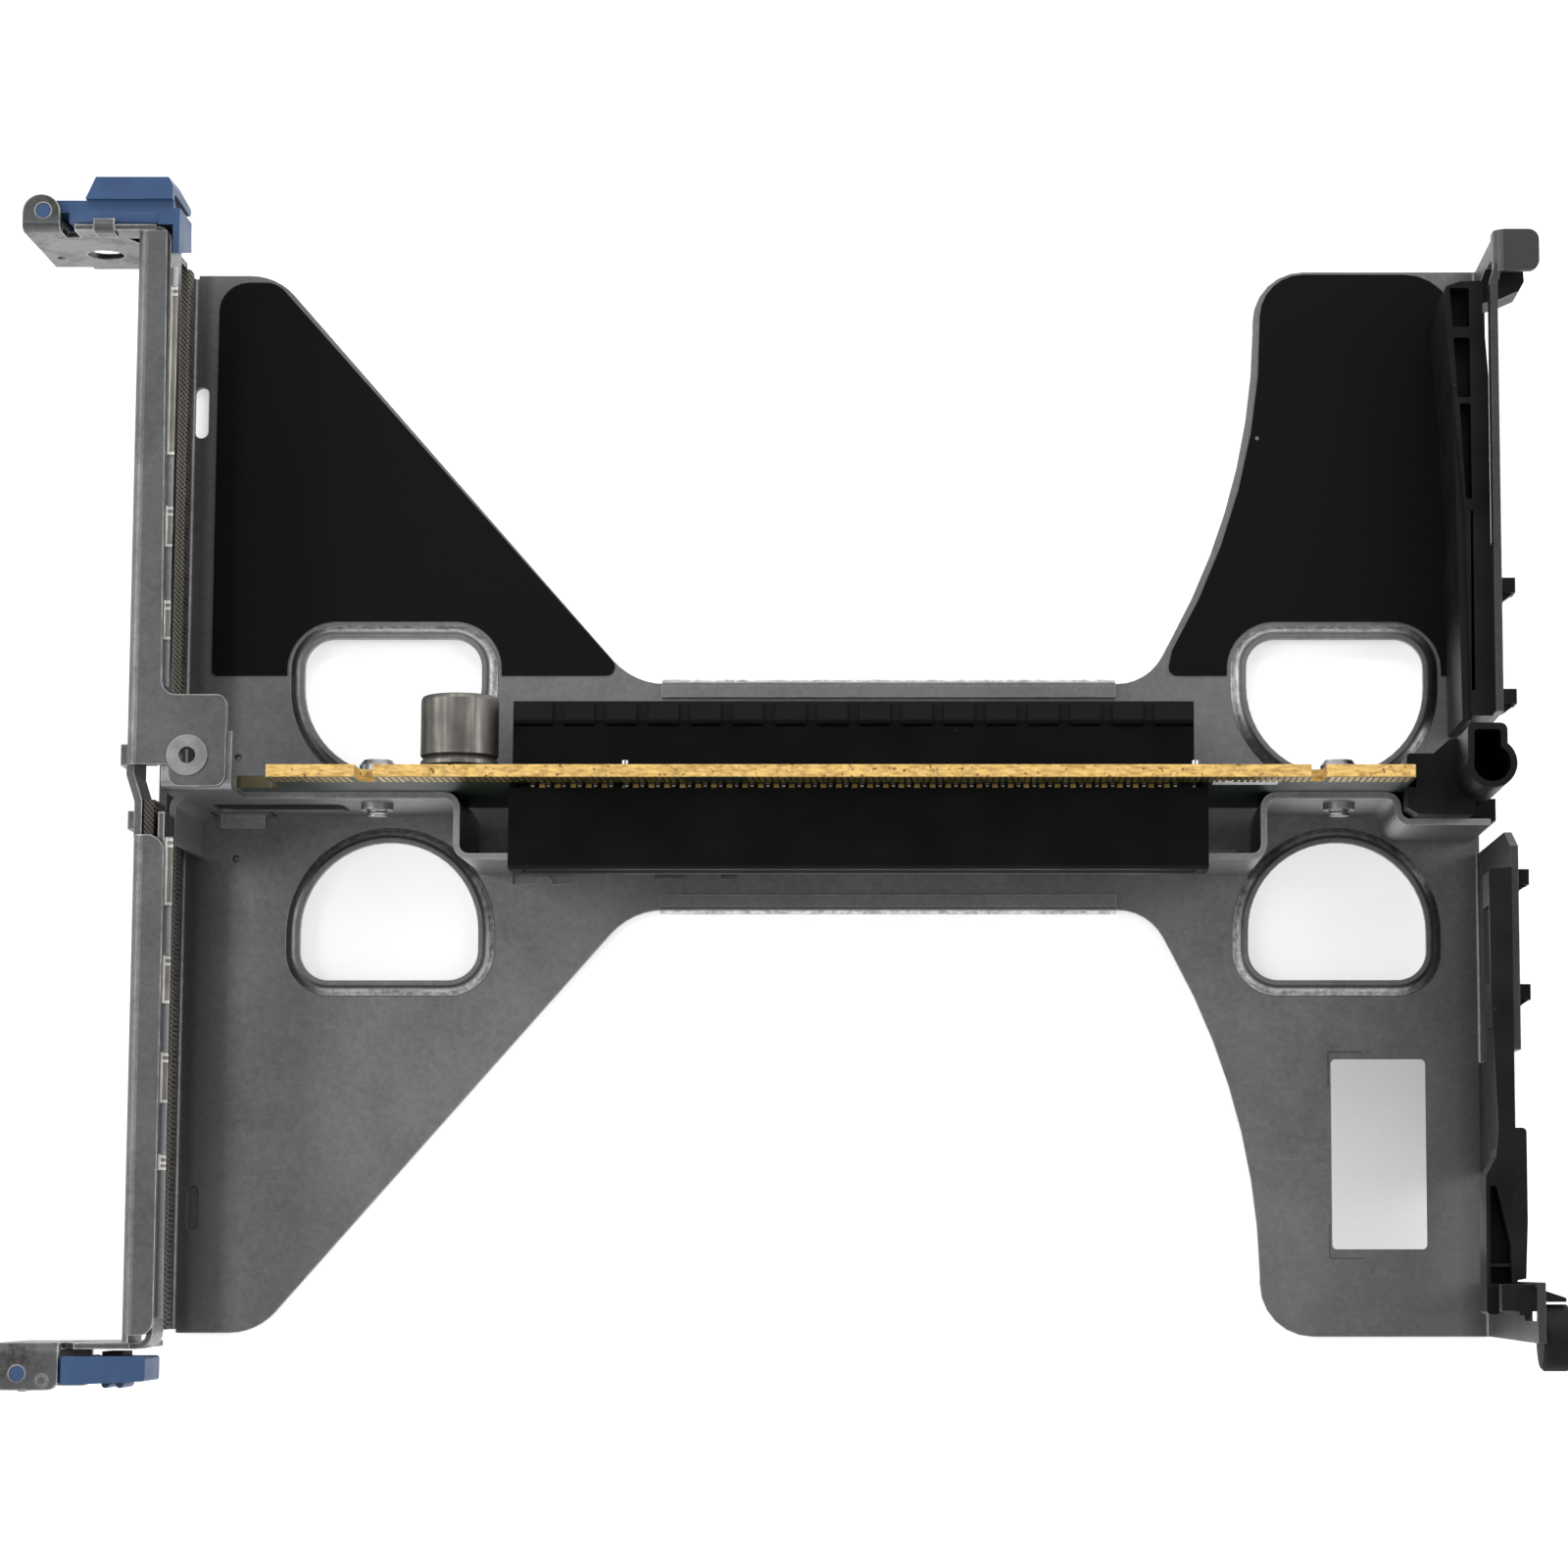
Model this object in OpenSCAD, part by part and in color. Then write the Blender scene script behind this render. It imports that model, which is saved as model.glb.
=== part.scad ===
// Riser cage bracket. A pressed steel cage plate carries an upright riser board
// with two card slots, and a channel along the left end clamps the card brackets.
// X runs along the riser board, Y across the two card bays, Z up from the plate.
// The origin is the middle of the cage plate's underside. Millimetres.

/* [Cage plate] */
// Thickness of the galvanised sheet
sheet_t = 1; // [0.8:0.1:1.1]
// Outer face of the left upstand
left_x = -88.2; // [-89:0.1:-88]
// Outer face of the right lug and ear
right_x = 89.6; // [89.4:0.1:90]
// Half width of the left wings
left_half_w = 72; // [71.8:0.1:72.3]
// Half width of the right wings
right_half_w = 72.6; // [72.4:0.1:73]
// Half width of the neck that joins the wings
neck_half_w = 15.4; // [15.2:0.1:15.6]
// Radius of the right wings' curved inner edge
wing_r = 92; // [90:1:94]
// Height of the left upstand
upstand_h = 12.7; // [12:0.1:12.7]

/* [Grip holes] */
// Width of each D-shaped hole
grip_w = 24; // [23:0.5:25]
// Straight part of each side of the hole
grip_side = 2.6; // [2:0.1:3]
// Corner radius at the flat side of the hole
grip_corner = 4; // [3:0.5:5]
// How far the rolled lip stands above the plate
lip_h = 1.2; // [1:0.1:1.4]

/* [Riser board] */
// Thickness of the board
board_t = 1.57; // [1.5:0.01:1.6]
// Height of the board's gold contact edge
board_top = 39.5; // [38:0.5:41]
// Front face of the board, on the upper bay's side
board_y = -0.35; // [-0.4:0.05:-0.3]
// Height of the two board screws
screw_z = 16.5; // [16:0.5:17]

/* [Card slots] */
// Length of each slot housing
slot_len = 89.2; // [88:0.1:90]
// Thickness of each slot housing
slot_w = 7.5; // [7.3:0.1:7.6]
// Pitch of the modelled contacts
contact_pitch = 2; // [2:0.5:4]

/* [Bracket channel] */
// Top face of the channel's cover
channel_top = 33.5; // [33.3:0.1:33.7]
// Lower edge of the cover's outer leg and of the spring strips
channel_low = 25.8; // [25:0.1:26]
// Thickness of the bracket and carrier sheets
thin_t = 0.8; // [0.7:0.05:0.8]
// Pitch of the grounding fingers
finger_pitch = 12.6; // [12.4:0.1:12.7]

/* [Latches] */
// Radius of the hinge holes in the latch brackets
pivot_r = 1; // [0.9:0.05:1.1]
// Radial running clearance of the hinge pins
pivot_gap = 0.05; // [0.03:0.01:0.08]

/* [Hidden] */

$fn = 48;
eps = 0.01;

// Colours
steel = [0.50, 0.52, 0.53];
bright = [0.74, 0.74, 0.73];
black = [0.07, 0.07, 0.075];
film_black = [0.05, 0.05, 0.055];
latch_blue = [0.27, 0.42, 0.66];
cloth = [0.36, 0.33, 0.29];
gold = [0.85, 0.66, 0.30];

// Bends in the cage plate
bend_r = 1;
bend_flat = bend_r + sheet_t / 2;

// Grip hole places: middle of the round side, upper bay then lower bay
grip_x = [-59, 68.65];
grip_upper_y = 14.8;
grip_lower_y = -18.4;

// Rolled hems along the neck
hem_x0 = -22.6;
hem_x1 = 38.9;
hem_r = 1.03;
hem_w = 2.55;

// Right walls; the lug and the ear stand further out than the two walls
wall_x = right_x - 0.6;
joggle_y = 66;
wall_top = 22;
low_wall_top = 34;
lug_top = 49;
peg_w = 2.2;
peg_h = 4;
peg_tip = 91.15;
upper_pegs = [26, 11.2];
lower_pegs = [-13.5, -28.3];
peg_z_upper = 15;
peg_z_lower = 24;

// Riser board and the wall behind it
board_back = board_y - board_t;
board_x0 = -69.5;
board_x1 = 75.6;
screw_x = [-58.7, 67.8];
screw_r = 1.25;
wall_y = board_back - thin_t / 2;
wall_low_y = -10.3;
wall_top_z = 22.5;
jog_r = 1.6;

// Slot housings
upper_slot_x = -40.6;
upper_slot_z = 12.9;
upper_slot_mouth = 10.4;
lower_slot_x = -39.5;
lower_slot_z = 26;
lower_slot_mouth = -13;
lower_slot_gap = 0.7;
peg_x = [-25, 48.2];
foot_w = 0.8;
slot_cavity = 3;
contact_w = 0.7;
end_pad = 5.1;
mid_pads = 14;
pad_gap = 1.6;

// Channel
upper_leg_x = -88.4;
lower_leg_x = -87.3;
cover_t = 1;
cover_under = channel_top - cover_t;
upper_strip_x = -84.6;
lower_strip_x = -83.8;
upper_shelf_y = 70.4;
lower_shelf_y = -73.1;
shelf_x0 = -103.4;
shelf_x1 = -86;
shelf_low = 12.7;
shelf_hole = [-95.3, 20.4];
shelf_hole_r = 2.4;
bushing = [-80.5, 1.57];
bushing_hole_r = 1.1;
bushing_barrel_r = 1.9;

// Latch pivots
upper_pivot = [-100.7, 72.65];
lower_pivot = [-100.12, -76.52];
pin_r = pivot_r - pivot_gap;
boss_r = 1.5;
lug_inner = thin_t + 0.15;

// ---------- Shared geometry ----------

function unit(v) = v / norm(v);
function heading(a, b) = atan2(b.y - a.y, b.x - a.x);
function turn(a, b) = let (d = b - a) d > 180 ? d - 360 : d <= -180 ? d + 360 : d;
function xy(p) = [p.x, p.y];

// Points along the bend at p, between points a and c, offset to the left by side
function bend(a, p, c, side, n) =
    let (h0 = heading(a, p), t = turn(h0, heading(p, c)), s = sign(t), d = p[2] * tan(abs(t) / 2))
    let (centre = xy(p) - d * [cos(h0), sin(h0)] + s * p[2] * [-sin(h0), cos(h0)])
    [for (i = [0:n]) let (a = h0 - s * 90 + t * i / n) centre + (p[2] - s * side) * [cos(a), sin(a)]];

// A path of [x, y, radius] points with its corners rounded and shifted sideways
function path(p, side = 0, n = 6) =
    let (last = len(p) - 1, h0 = heading(p[0], p[1]), h1 = heading(p[last - 1], p[last]))
    concat(
        [xy(p[0]) + side * [-sin(h0), cos(h0)]],
        [for (i = [1:last - 1]) each bend(p[i - 1], p[i], p[i + 1], side, n)],
        [xy(p[last]) + side * [-sin(h1), cos(h1)]]
    );

function reversed(p) = [for (i = [len(p) - 1:-1:0]) p[i]];

// Closed outline of [x, y, radius] corners
function outline(p, n = 6) =
    [for (i = [0:len(p) - 1])
        let (c = p[i], a = p[(i + len(p) - 1) % len(p)], b = p[(i + 1) % len(p)])
        each (c[2] > 0 ? bend(a, c, b, 0, n) : [xy(c)])];

// Section of a bent sheet of thickness t whose middle follows p
module sheet(p, t) {
    polygon(concat(path(p, t / 2), reversed(path(p, -t / 2))));
}

module shape(p, n = 6) {
    polygon(outline(p, n));
}

module rounded_rect(x0, y0, x1, y1, r) {
    shape([[x0, y0, r], [x1, y0, r], [x1, y1, r], [x0, y1, r]]);
}

module along_x(x0, x1) {
    translate([x0, 0, 0]) rotate([90, 0, 90]) linear_extrude(x1 - x0) children();
}

module along_y(y0, y1) {
    translate([0, y1, 0]) rotate([90, 0, 0]) linear_extrude(y1 - y0) children();
}

module along_z(z0, z1) {
    translate([0, 0, z0]) linear_extrude(z1 - z0) children();
}

module box(low, high) {
    translate(low) cube(high - low);
}

// Round rod or hole along Y
module rod_y(x, z, r, y0, y1) {
    translate([x, y1, z]) rotate([90, 0, 0]) cylinder(r = r, h = y1 - y0);
}

// ---------- Cage plate ----------

// Upper half of the plate's edge, from the left upstand to the right wall
function wing_edge() =
    concat(
        [[left_x + bend_flat, left_half_w, 0], [-76, left_half_w, 8], [-26.5, neck_half_w, 9.5],
         [43.3, neck_half_w, 7]],
        [for (a = [-29:4:-1]) [58 - wing_r + wing_r * cos(a), 66 + wing_r * sin(a), 0]],
        [[58, right_half_w, 7], [right_x - bend_flat, right_half_w, 0]]
    );

module plate_outline() {
    upper = wing_edge();
    lower = [for (p = reversed(upper)) [p.x, -p.y, p[2]]];
    shape(concat(upper, lower));
}

// D-shaped hole grown by s, with its round side towards -Y
module grip_shape(s) {
    half = grip_w / 2;
    corner_x = half - grip_corner;
    intersection() {
        circle(r = half + s);
        translate([-2 * half, -2 * half]) square([4 * half, 2 * half + eps]);
    }
    translate([-half - s, 0]) square([2 * (half + s), grip_side]);
    translate([-corner_x, grip_side - eps]) square([2 * corner_x, grip_corner + s + eps]);
    for (side = [-1, 1]) translate([side * corner_x, grip_side]) circle(r = grip_corner + s);
}

lip_w = 2.4;
lip_path = [
    [lip_w + 0.2, sheet_t / 2, 0], [1.75, sheet_t / 2, 0.8],
    [0.85, sheet_t / 2 + lip_h, 0.8], [0, sheet_t / 2 + lip_h, 0]
];

module lip_section() {
    sheet(lip_path, sheet_t);
}

// The lip is pressed up out of the plate and follows the hole all the way round
module grip_lip() {
    half = grip_w / 2;
    corner_x = half - grip_corner;
    flat_y = grip_side + grip_corner;
    rotate([0, 0, 180]) rotate_extrude(angle = 180) translate([half, 0]) lip_section();
    along_x(-corner_x, corner_x) translate([flat_y, 0]) lip_section();
    for (side = [0, 1]) mirror([side, 0, 0]) {
        translate([corner_x, grip_side, 0]) rotate_extrude(angle = 90) translate([grip_corner, 0])
            lip_section();
        along_y(0, grip_side) translate([half, 0]) lip_section();
    }
}

module each_grip() {
    for (x = grip_x) {
        translate([x, grip_upper_y, 0]) children();
        translate([x, grip_lower_y, 0]) mirror([0, 1, 0]) children();
    }
}

module obround(x, y0, y1, w) {
    rounded_rect(x - w / 2, y0, x + w / 2, y1, w / 2 - eps);
}

// Sheet folded up from the plate's end, from y0 to y1 and up to z = top
module end_wall(x, dir, y0, y1, top) {
    middle = x - dir * sheet_t / 2;
    along_y(y0, y1)
        sheet([[x - dir * (bend_flat + 1), sheet_t / 2, 0], [middle, sheet_t / 2, bend_r], [middle, top, 0]],
              sheet_t);
}

module peg_hole(y, z) {
    box([wall_x - 2, y - peg_w / 2, z], [wall_x + 1, y + peg_w / 2, z + peg_h]);
}

// Step that carries the upper right wall out to the ear
module wall_joggle() {
    from_x = wall_x - sheet_t / 2;
    to_x = right_x - sheet_t / 2;
    end_wall(wall_x, 1, joggle_y - 0.1, joggle_y + 1, 2);
    along_z(bend_r, wall_top - 0.5)
        sheet([[from_x, joggle_y - 1, 0], [from_x, joggle_y, 1.2], [to_x, joggle_y + 2.2, 1.2],
               [to_x, joggle_y + 2.8, 0]], sheet_t);
}

// Ear folded outwards from the top of the upper right wall
module wall_ear() {
    middle = right_x - sheet_t / 2;
    tip_x = 94.6;
    y0 = 67.7;
    y1 = 73.3;
    intersection() {
        along_y(y0, y1)
            sheet([[middle, 18, 0], [middle, wall_top - sheet_t / 2, 1.2],
                   [tip_x, wall_top - sheet_t / 2, 0]],
                  sheet_t);
        along_z(0, lug_top) shape([[80, y0, 0], [tip_x, y0, 1.4], [tip_x, y1, 1.4], [80, y1, 0]]);
    }
}

module cage_plate() color(steel) difference() {
    union() {
        difference() {
            along_z(0, sheet_t) plate_outline();
            each_grip() along_z(-1, 2) grip_shape(lip_w);
            for (span = [[8.8, joggle_y + 1], [-36, -7.75]])
                box([wall_x - bend_flat, span[0], -1], [right_x, span[1], 2]);
        }
        each_grip() grip_lip();
        for (side = [0, 1]) mirror([0, side, 0]) along_x(hem_x0, hem_x1) {
            translate([16 - hem_r, hem_r]) circle(r = hem_r);
            translate([16 - hem_w, sheet_t - eps]) square([hem_w - hem_r, 2 * hem_r - sheet_t + eps]);
        }
        end_wall(left_x, -1, -71.5, 71.5, upstand_h);
        box([left_x, -73.5, upstand_h - 4], [left_x + sheet_t, -71, upstand_h]);
        end_wall(wall_x, 1, 8.8, joggle_y, wall_top);
        wall_joggle();
        end_wall(right_x, 1, joggle_y + 1, right_half_w, wall_top - 2);
        wall_ear();
        end_wall(wall_x, 1, -36, -7.75, low_wall_top);
        end_wall(right_x, 1, -right_half_w, -65.2, lug_top);
    }
    // Window beside the upper guide's spring arm
    along_x(wall_x - 1.5, right_x + 1) rounded_rect(31, 8, 69.8, 19.3, 1);
    // Sloping top edge of the lower right wall
    along_x(wall_x - 1.5, right_x + 1) polygon([[-7, 26], [-10.5, low_wall_top + 1], [-7, low_wall_top + 1]]);
    for (y = upper_pegs) peg_hole(y, peg_z_upper);
    for (y = lower_pegs) peg_hole(y, peg_z_lower);
    // Window in the lug for the lower guide's tail
    along_x(right_x - 2, right_x + 1) rounded_rect(-70, 36.5, -65.85, 47.8, 0.4);
    // Alignment slots beside the left upstand; the lower one is only sunk
    along_z(-1, 2) obround(-85.95, 49.3, 56.4, 1.9);
    along_z(0.3, 2) obround(-84.85, -58.5, -52.3, 1.7);
    // Small locating dimples
    for (y = [5.3, -8.5]) translate([-80, y, 0.4]) cylinder(r1 = 0.3, r2 = 0.65, h = sheet_t);
    // Sunk pockets in front of the middle wall's foot
    along_z(0.4, 2) difference() {
        translate([-42.6, -11.9]) square([8.3, 1.4]);
        translate([-38.3, -12]) circle(r = 1.15);
    }
    for (span = [[-23.5, -19.4], [-14.5, -12.2]])
        along_z(0.4, 2) translate([span[0], -11.2]) square([span[1] - span[0], 0.8]);
}

// ---------- Channel cover ----------

module cover_leg(x, y0, y1) {
    along_y(y0, y1)
        sheet([[x + cover_t / 2, channel_low - 0.8, 0], [x + cover_t / 2, channel_top - cover_t / 2, 0.9],
               [x + 2.4, channel_top - cover_t / 2, 0]], cover_t);
}

cover_end_y = -71.8;

module rear_frame() color(steel) difference() {
    union() {
        along_z(cover_under, channel_top) {
            shape([[upper_leg_x + 1.4, 0.4, 0], [-82.9, 0.4, 0.6], [-82.9, -2.45, 1.5], [-75.6, -2.45, 1.5],
                   [-75.6, 9.4, 1.3], [-83.95, 9.4, 1.8], [-84.6, 70, 0], [upper_leg_x + 1.4, 70, 0]]);
            shape([[lower_leg_x + 1.4, cover_end_y, 0], [-83.2, cover_end_y, 1.8], [-83.2, -8.6, 2.2],
                   [lower_leg_x + 1.4, -8.6, 0]]);
        }
        cover_leg(upper_leg_x, 0.4, 70);
        cover_leg(lower_leg_x, -72.7, -8.6);
        // Jogged link between the two halves of the outer leg
        along_z(channel_low - 0.8, channel_top - 1)
            sheet([[upper_leg_x + cover_t / 2, 0.6, 0], [upper_leg_x + cover_t / 2, -0.8, 0.8],
                   [lower_leg_x + cover_t / 2, -4.2, 0.8], [lower_leg_x + cover_t / 2, -8.8, 0]], cover_t);
        // Locating nubs pressed out of the leg
        box([upper_leg_x - 1.1, 0.5, 27], [upper_leg_x + eps, 3.3, 31]);
        box([lower_leg_x - 1.1, -7.7, 27], [lower_leg_x + eps, -5.3, 31]);
    }
    translate([bushing.x, bushing.y, cover_under - 1]) cylinder(r = bushing_barrel_r, h = cover_t + 2);
    // The lower cover stops short of the latch bracket
    box([lower_leg_x + 1.05, -73, channel_top - 1.1], [-80, cover_end_y, channel_top + 1]);
}

module guide_bushing() color(bright) translate([bushing.x, bushing.y, 0]) difference() {
    union() {
        translate([0, 0, cover_under - thin_t - 0.3])
            cylinder(r = bushing_barrel_r, h = cover_t + thin_t + 0.5);
        translate([0, 0, channel_top]) cylinder(r = 2.6, h = 0.25);
    }
    translate([0, 0, 30]) cylinder(r = bushing_hole_r, h = 5);
}

// ---------- Carrier wall behind the riser board ----------

carrier_x0 = -84.4;
carrier_x1 = 87;

module carrier_wall() color(steel) difference() {
    union() {
        along_z(sheet_t, wall_top_z)
            sheet([[carrier_x0, -8.5, 0], [carrier_x0, wall_y, 1.8], [-47.5, wall_y, jog_r],
                   [-47.5, wall_low_y, jog_r], [57.5, wall_low_y, jog_r], [57.5, wall_y, jog_r],
                   [75, wall_y, jog_r],
                   [75, -5.8, jog_r], [carrier_x1, -5.8, 0]], thin_t);
        // Raised left end, folded over under the channel cover's tab
        along_x(-84, -75.1)
            sheet([[wall_y, wall_top_z - 1, 0], [wall_y, cover_under - thin_t / 2, 1.2],
                   [4.8, cover_under - thin_t / 2, 0]], thin_t);
        // Foot along the middle of the wall, turned in behind it
        along_x(-42, 55)
            sheet([[wall_low_y, 5, 0], [wall_low_y, sheet_t + thin_t / 2, 0.9],
                   [-7.4, sheet_t + thin_t / 2, 0]], thin_t);
        // Small foot at the left end
        box([-82, -4.4, sheet_t], [-76, wall_y, sheet_t + thin_t]);
        // Burred collars of the screw holes
        for (x = screw_x) rod_y(x, screw_z, 2.1, board_back - thin_t - 0.9, board_back - thin_t / 2);
    }
    for (x = screw_x) rod_y(x, screw_z, screw_r + 0.05, -6, 0);
    // Relief over the rolled lips of the lower grip holes
    for (x = grip_x)
        translate([x, grip_lower_y, 0]) mirror([0, 1, 0]) along_z(0, 2.4) grip_shape(lip_w + 0.1);
    // Slot near the left end
    along_y(-4, 0) rounded_rect(-81, 7, -63.5, 15.5, 1.5);
    translate([bushing.x, bushing.y, cover_under - 2]) cylinder(r = bushing_barrel_r, h = 3);
}

// ---------- Latch brackets ----------

// Flange round the hinge pin, folded from the shelf at height z; dir is the way it points
module lug_fold(x0, x1, shelf_y, dir, z, up) {
    along_x(x0, x1)
        sheet([[shelf_y, z - up * 3, 0], [shelf_y, z, 0.9], [shelf_y + dir * 1.6, z, 0]], thin_t);
}

// Spring strip that runs beside the card brackets, turned outwards into the latch shelf
module latch_bracket(strip_x, strip_end, shelf_y, dir, lug_x1, lug_y, lug_r, pivot) {
    x0 = shelf_x0;
    difference() {
        union() {
            along_z(channel_low, cover_under)
                sheet([[strip_x, strip_end, 0], [strip_x, shelf_y, 1.6], [shelf_x1 - 1, shelf_y, 0]], thin_t);
            along_y(shelf_y - thin_t / 2, shelf_y + thin_t / 2)
                polygon([[x0, shelf_low + 1.3], [lug_x1, shelf_low + 1.3], [lug_x1, shelf_low],
                         [shelf_x1, shelf_low],
                         [shelf_x1, channel_top], [lug_x1 + 1.9, channel_top],
                         [lug_x1 + 1.9, channel_top - 4],
                         [lug_x1 + 0.1, channel_top - 4], [lug_x1 + 0.1, channel_top - 1.3],
                         [x0, channel_top - 1.3]]);
            for (up = [-1, 1]) {
                z = up > 0 ? channel_top - thin_t / 2 : shelf_low + thin_t / 2;
                lug_fold(x0, lug_x1, shelf_y, dir, z, up);
                along_z(z - thin_t / 2, z + thin_t / 2)
                    shape([[x0, shelf_y + dir * 1.3, 0], [lug_x1, shelf_y + dir * 1.3, 0],
                           [lug_x1, lug_y, lug_r], [x0, lug_y, lug_r]]);
            }
        }
        translate([pivot.x, pivot.y, 0]) cylinder(r = pivot_r, h = 50);
        rod_y(shelf_hole.x, shelf_hole.y, shelf_hole_r, shelf_y - 2, shelf_y + 2);
        // Pressed dimple near the outer corner
        translate([-101.5, shelf_y - dir * (thin_t / 2 + eps), 18.8]) rotate([-90 * dir, 0, 0])
            cylinder(r1 = 0.75, r2 = 0.3, h = thin_t / 2);
        children();
    }
}

// Windows of the spring strip, one for each grounding finger
module finger_windows(strip_x, first, dir) {
    for (i = [0:3]) {
        y = first + dir * i * finger_pitch;
        box([strip_x - 1, y - 2.85, 28.5], [strip_x + 1, y + 2.85, 31.7]);
    }
}

upper_first = 19.3;
lower_first = -14.1;

module upper_latch_bracket() color(steel) {
    latch_bracket(upper_strip_x, 8, upper_shelf_y, 1, -98.5, 74.8, 2.4, upper_pivot) {
        finger_windows(upper_strip_x, upper_first, 1);
        along_y(upper_shelf_y - 1, upper_shelf_y + 1) polygon([[-90.6, 29.3], [-88.9, 29.3], [-88.9, 25.2]]);
    }
    // Stop curled over the shelf's top edge
    along_x(-94.1, -91.4)
        sheet([[upper_shelf_y - 0.5, channel_top - 2.5, 0], [upper_shelf_y - 0.4, channel_top + 0.2, 0.6],
               [upper_shelf_y + 1.1, channel_top - 0.1, 0]], 0.5);
}

module lower_latch_bracket() color(steel) {
    latch_bracket(lower_strip_x, -5.6, lower_shelf_y, -1, -95, -78.6, 1.3, lower_pivot)
        finger_windows(lower_strip_x, lower_first, -1);
    // Button pressed up beside the hinge hole
    translate([-96.95, -77.4, channel_top - eps]) cylinder(r1 = 0.8, r2 = 0.65, h = 0.25);
}

// ---------- Grounding fingers and conductive gaskets ----------

// Stainless strip clipped behind a spring strip, with bowed fingers in its windows
module ground_fingers(strip_x, first, dir, y0, y1) {
    back = strip_x - thin_t / 2;
    box([back - 0.15, y0, 29], [back, y1, 31.2]);
    for (i = [0:3]) {
        y = first + dir * i * finger_pitch;
        along_z(29, 31.2)
            sheet([[back - 0.02, y - 2.4, 0], [back + 0.95, y - 1.2, 1.2], [back + 0.95, y + 1.2, 1.2],
                   [back - 0.02, y + 2.4, 0]], 0.2);
    }
}

module upper_ground_fingers() color(bright)
    ground_fingers(upper_strip_x, upper_first, 1, 15.5, 61);

module lower_ground_fingers() color(bright)
    ground_fingers(lower_strip_x, lower_first, -1, -55.8, -10.3);

// Lip of cloth-covered foam along the inside of the upstand
module lip_gasket(y0, y1) {
    x = left_x + sheet_t;
    along_y(y0, y1) {
        translate([x, 9.5]) square([0.9, 3.2]);
        translate([x + 1, 11.9]) circle(r = 1);
    }
}

module upper_gasket() color(cloth) lip_gasket(-0.2, 70);

module lower_gasket() color(cloth) lip_gasket(-71.3, -5.4);

module channel_gasket(x, y0, y1) {
    along_y(y0, y1) {
        translate([x, channel_low - 0.8]) square([1.6, cover_under - channel_low - 0.2]);
        translate([x + 0.8, cover_under - 1]) circle(r = 0.8);
    }
}

module upper_channel_gasket() color(cloth) channel_gasket(upper_leg_x + cover_t, 1.2, 69.2);

module lower_channel_gasket() color(cloth) channel_gasket(lower_leg_x + cover_t, -70, -4);

// ---------- Latches ----------

// Hinge barrel of a latch with a pin at each end
module latch_barrel(pivot) {
    translate([pivot.x, pivot.y, shelf_low + lug_inner])
        cylinder(r = boss_r, h = channel_top - shelf_low - 2 * lug_inner);
    translate([pivot.x, pivot.y, shelf_low + 0.1]) cylinder(r = pin_r, h = channel_top - shelf_low - 0.2);
}

module upper_latch() color(latch_blue) {
    web = upper_shelf_y + thin_t / 2 + 0.25;
    arm = [72.6, 74.2];
    arm_top = channel_top - lug_inner;
    latch_barrel(upper_pivot);
    box([upper_pivot.x, arm[0], shelf_low + lug_inner], [-95, arm[1], arm_top]);
    // Finger grip: a hook section open towards the plate
    intersection() {
        along_x(-95.4, -84)
            polygon([[arm[0], 20.6], [arm[0], arm_top], [arm[1], arm_top], [arm[1], channel_top],
                     [77.1, channel_top],
                     [77.7, 25.6], [77.7, 24], [75.6, 20.9], [74.9, 21.7], [75.2, 31.7], [74.6, 32.3],
                     [73.8, 31.6],
                     [73.5, 30.6], [73.3, 20.6]]);
        along_z(0, 50) polygon([[-95.4, 70], [-95.3, 74.2], [-93.6, 78], [-85, 78], [-84, 76], [-84, 70]]);
    }
    // Catch nose that reaches past the end of the spring strip
    box([-86, web, 24.6], [-83.2, 73.2, arm_top]);
    along_x(-84.05, -83.2) polygon([[67.2, arm_top], [69.3, 24.3], [72.1, 24.6], [72.1, arm_top]]);
}

module lower_latch() color(latch_blue) {
    inner_y = -74.4;
    outer_y = -77.7;
    latch_barrel(lower_pivot);
    along_z(shelf_low + lug_inner, channel_top - lug_inner)
        polygon([[lower_pivot.x, inner_y - 1], [-94, inner_y - 0.1], [-94, outer_y],
                 [lower_pivot.x, outer_y - 0.2]]);
    along_z(24.5, channel_top)
        shape([[-94.6, inner_y, 0.4], [-84.05, inner_y, 0.4], [-84.05, outer_y + 0.2, 0.4],
               [-94.6, outer_y - 0.3, 0.4]]);
    // Grip ribs on the outer face
    for (x = [-89.5, -87.7]) along_z(24.5, 31) translate([x, outer_y - 0.2]) circle(r = 0.5);
    // Stop tab beside the hinge barrel
    along_z(25, 28)
        shape([[-101.4, lower_pivot.y, 0], [-100, lower_pivot.y, 0], [-100.1, -78.9, 0.3],
               [-101.3, -78.9, 0.3]]);
}

module latch_pad() color(black) {
    box([-90, -74.4, 25], [-87.4, -73.8, 31]);
}

// ---------- Riser board ----------

module riser_board() color([0.62, 0.52, 0.28]) difference() {
    along_y(board_back, board_y)
        shape([[-75.6, 4, 1], [board_x1, 4, 1], [board_x1, board_top, 0.6], [64.3, board_top, 0.3],
               [64.3, 34.2, 0.9], [62.4, 34.2, 0.9], [62.4, board_top, 0.3], [-56, board_top, 0.3],
               [-56, 34.2, 0.9], [-58.3, 34.2, 0.9], [-58.3, board_top, 0.3], [board_x0, board_top, 0.6],
               [board_x0, 27.5, 1.5], [-75.6, 27.5, 1]]);
    for (x = screw_x) rod_y(x, screw_z, 1.6, -3, 1);
    for (x = peg_x) rod_y(x, lower_slot_z + slot_w / 2, 0.55, -3, 1);
}

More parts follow.
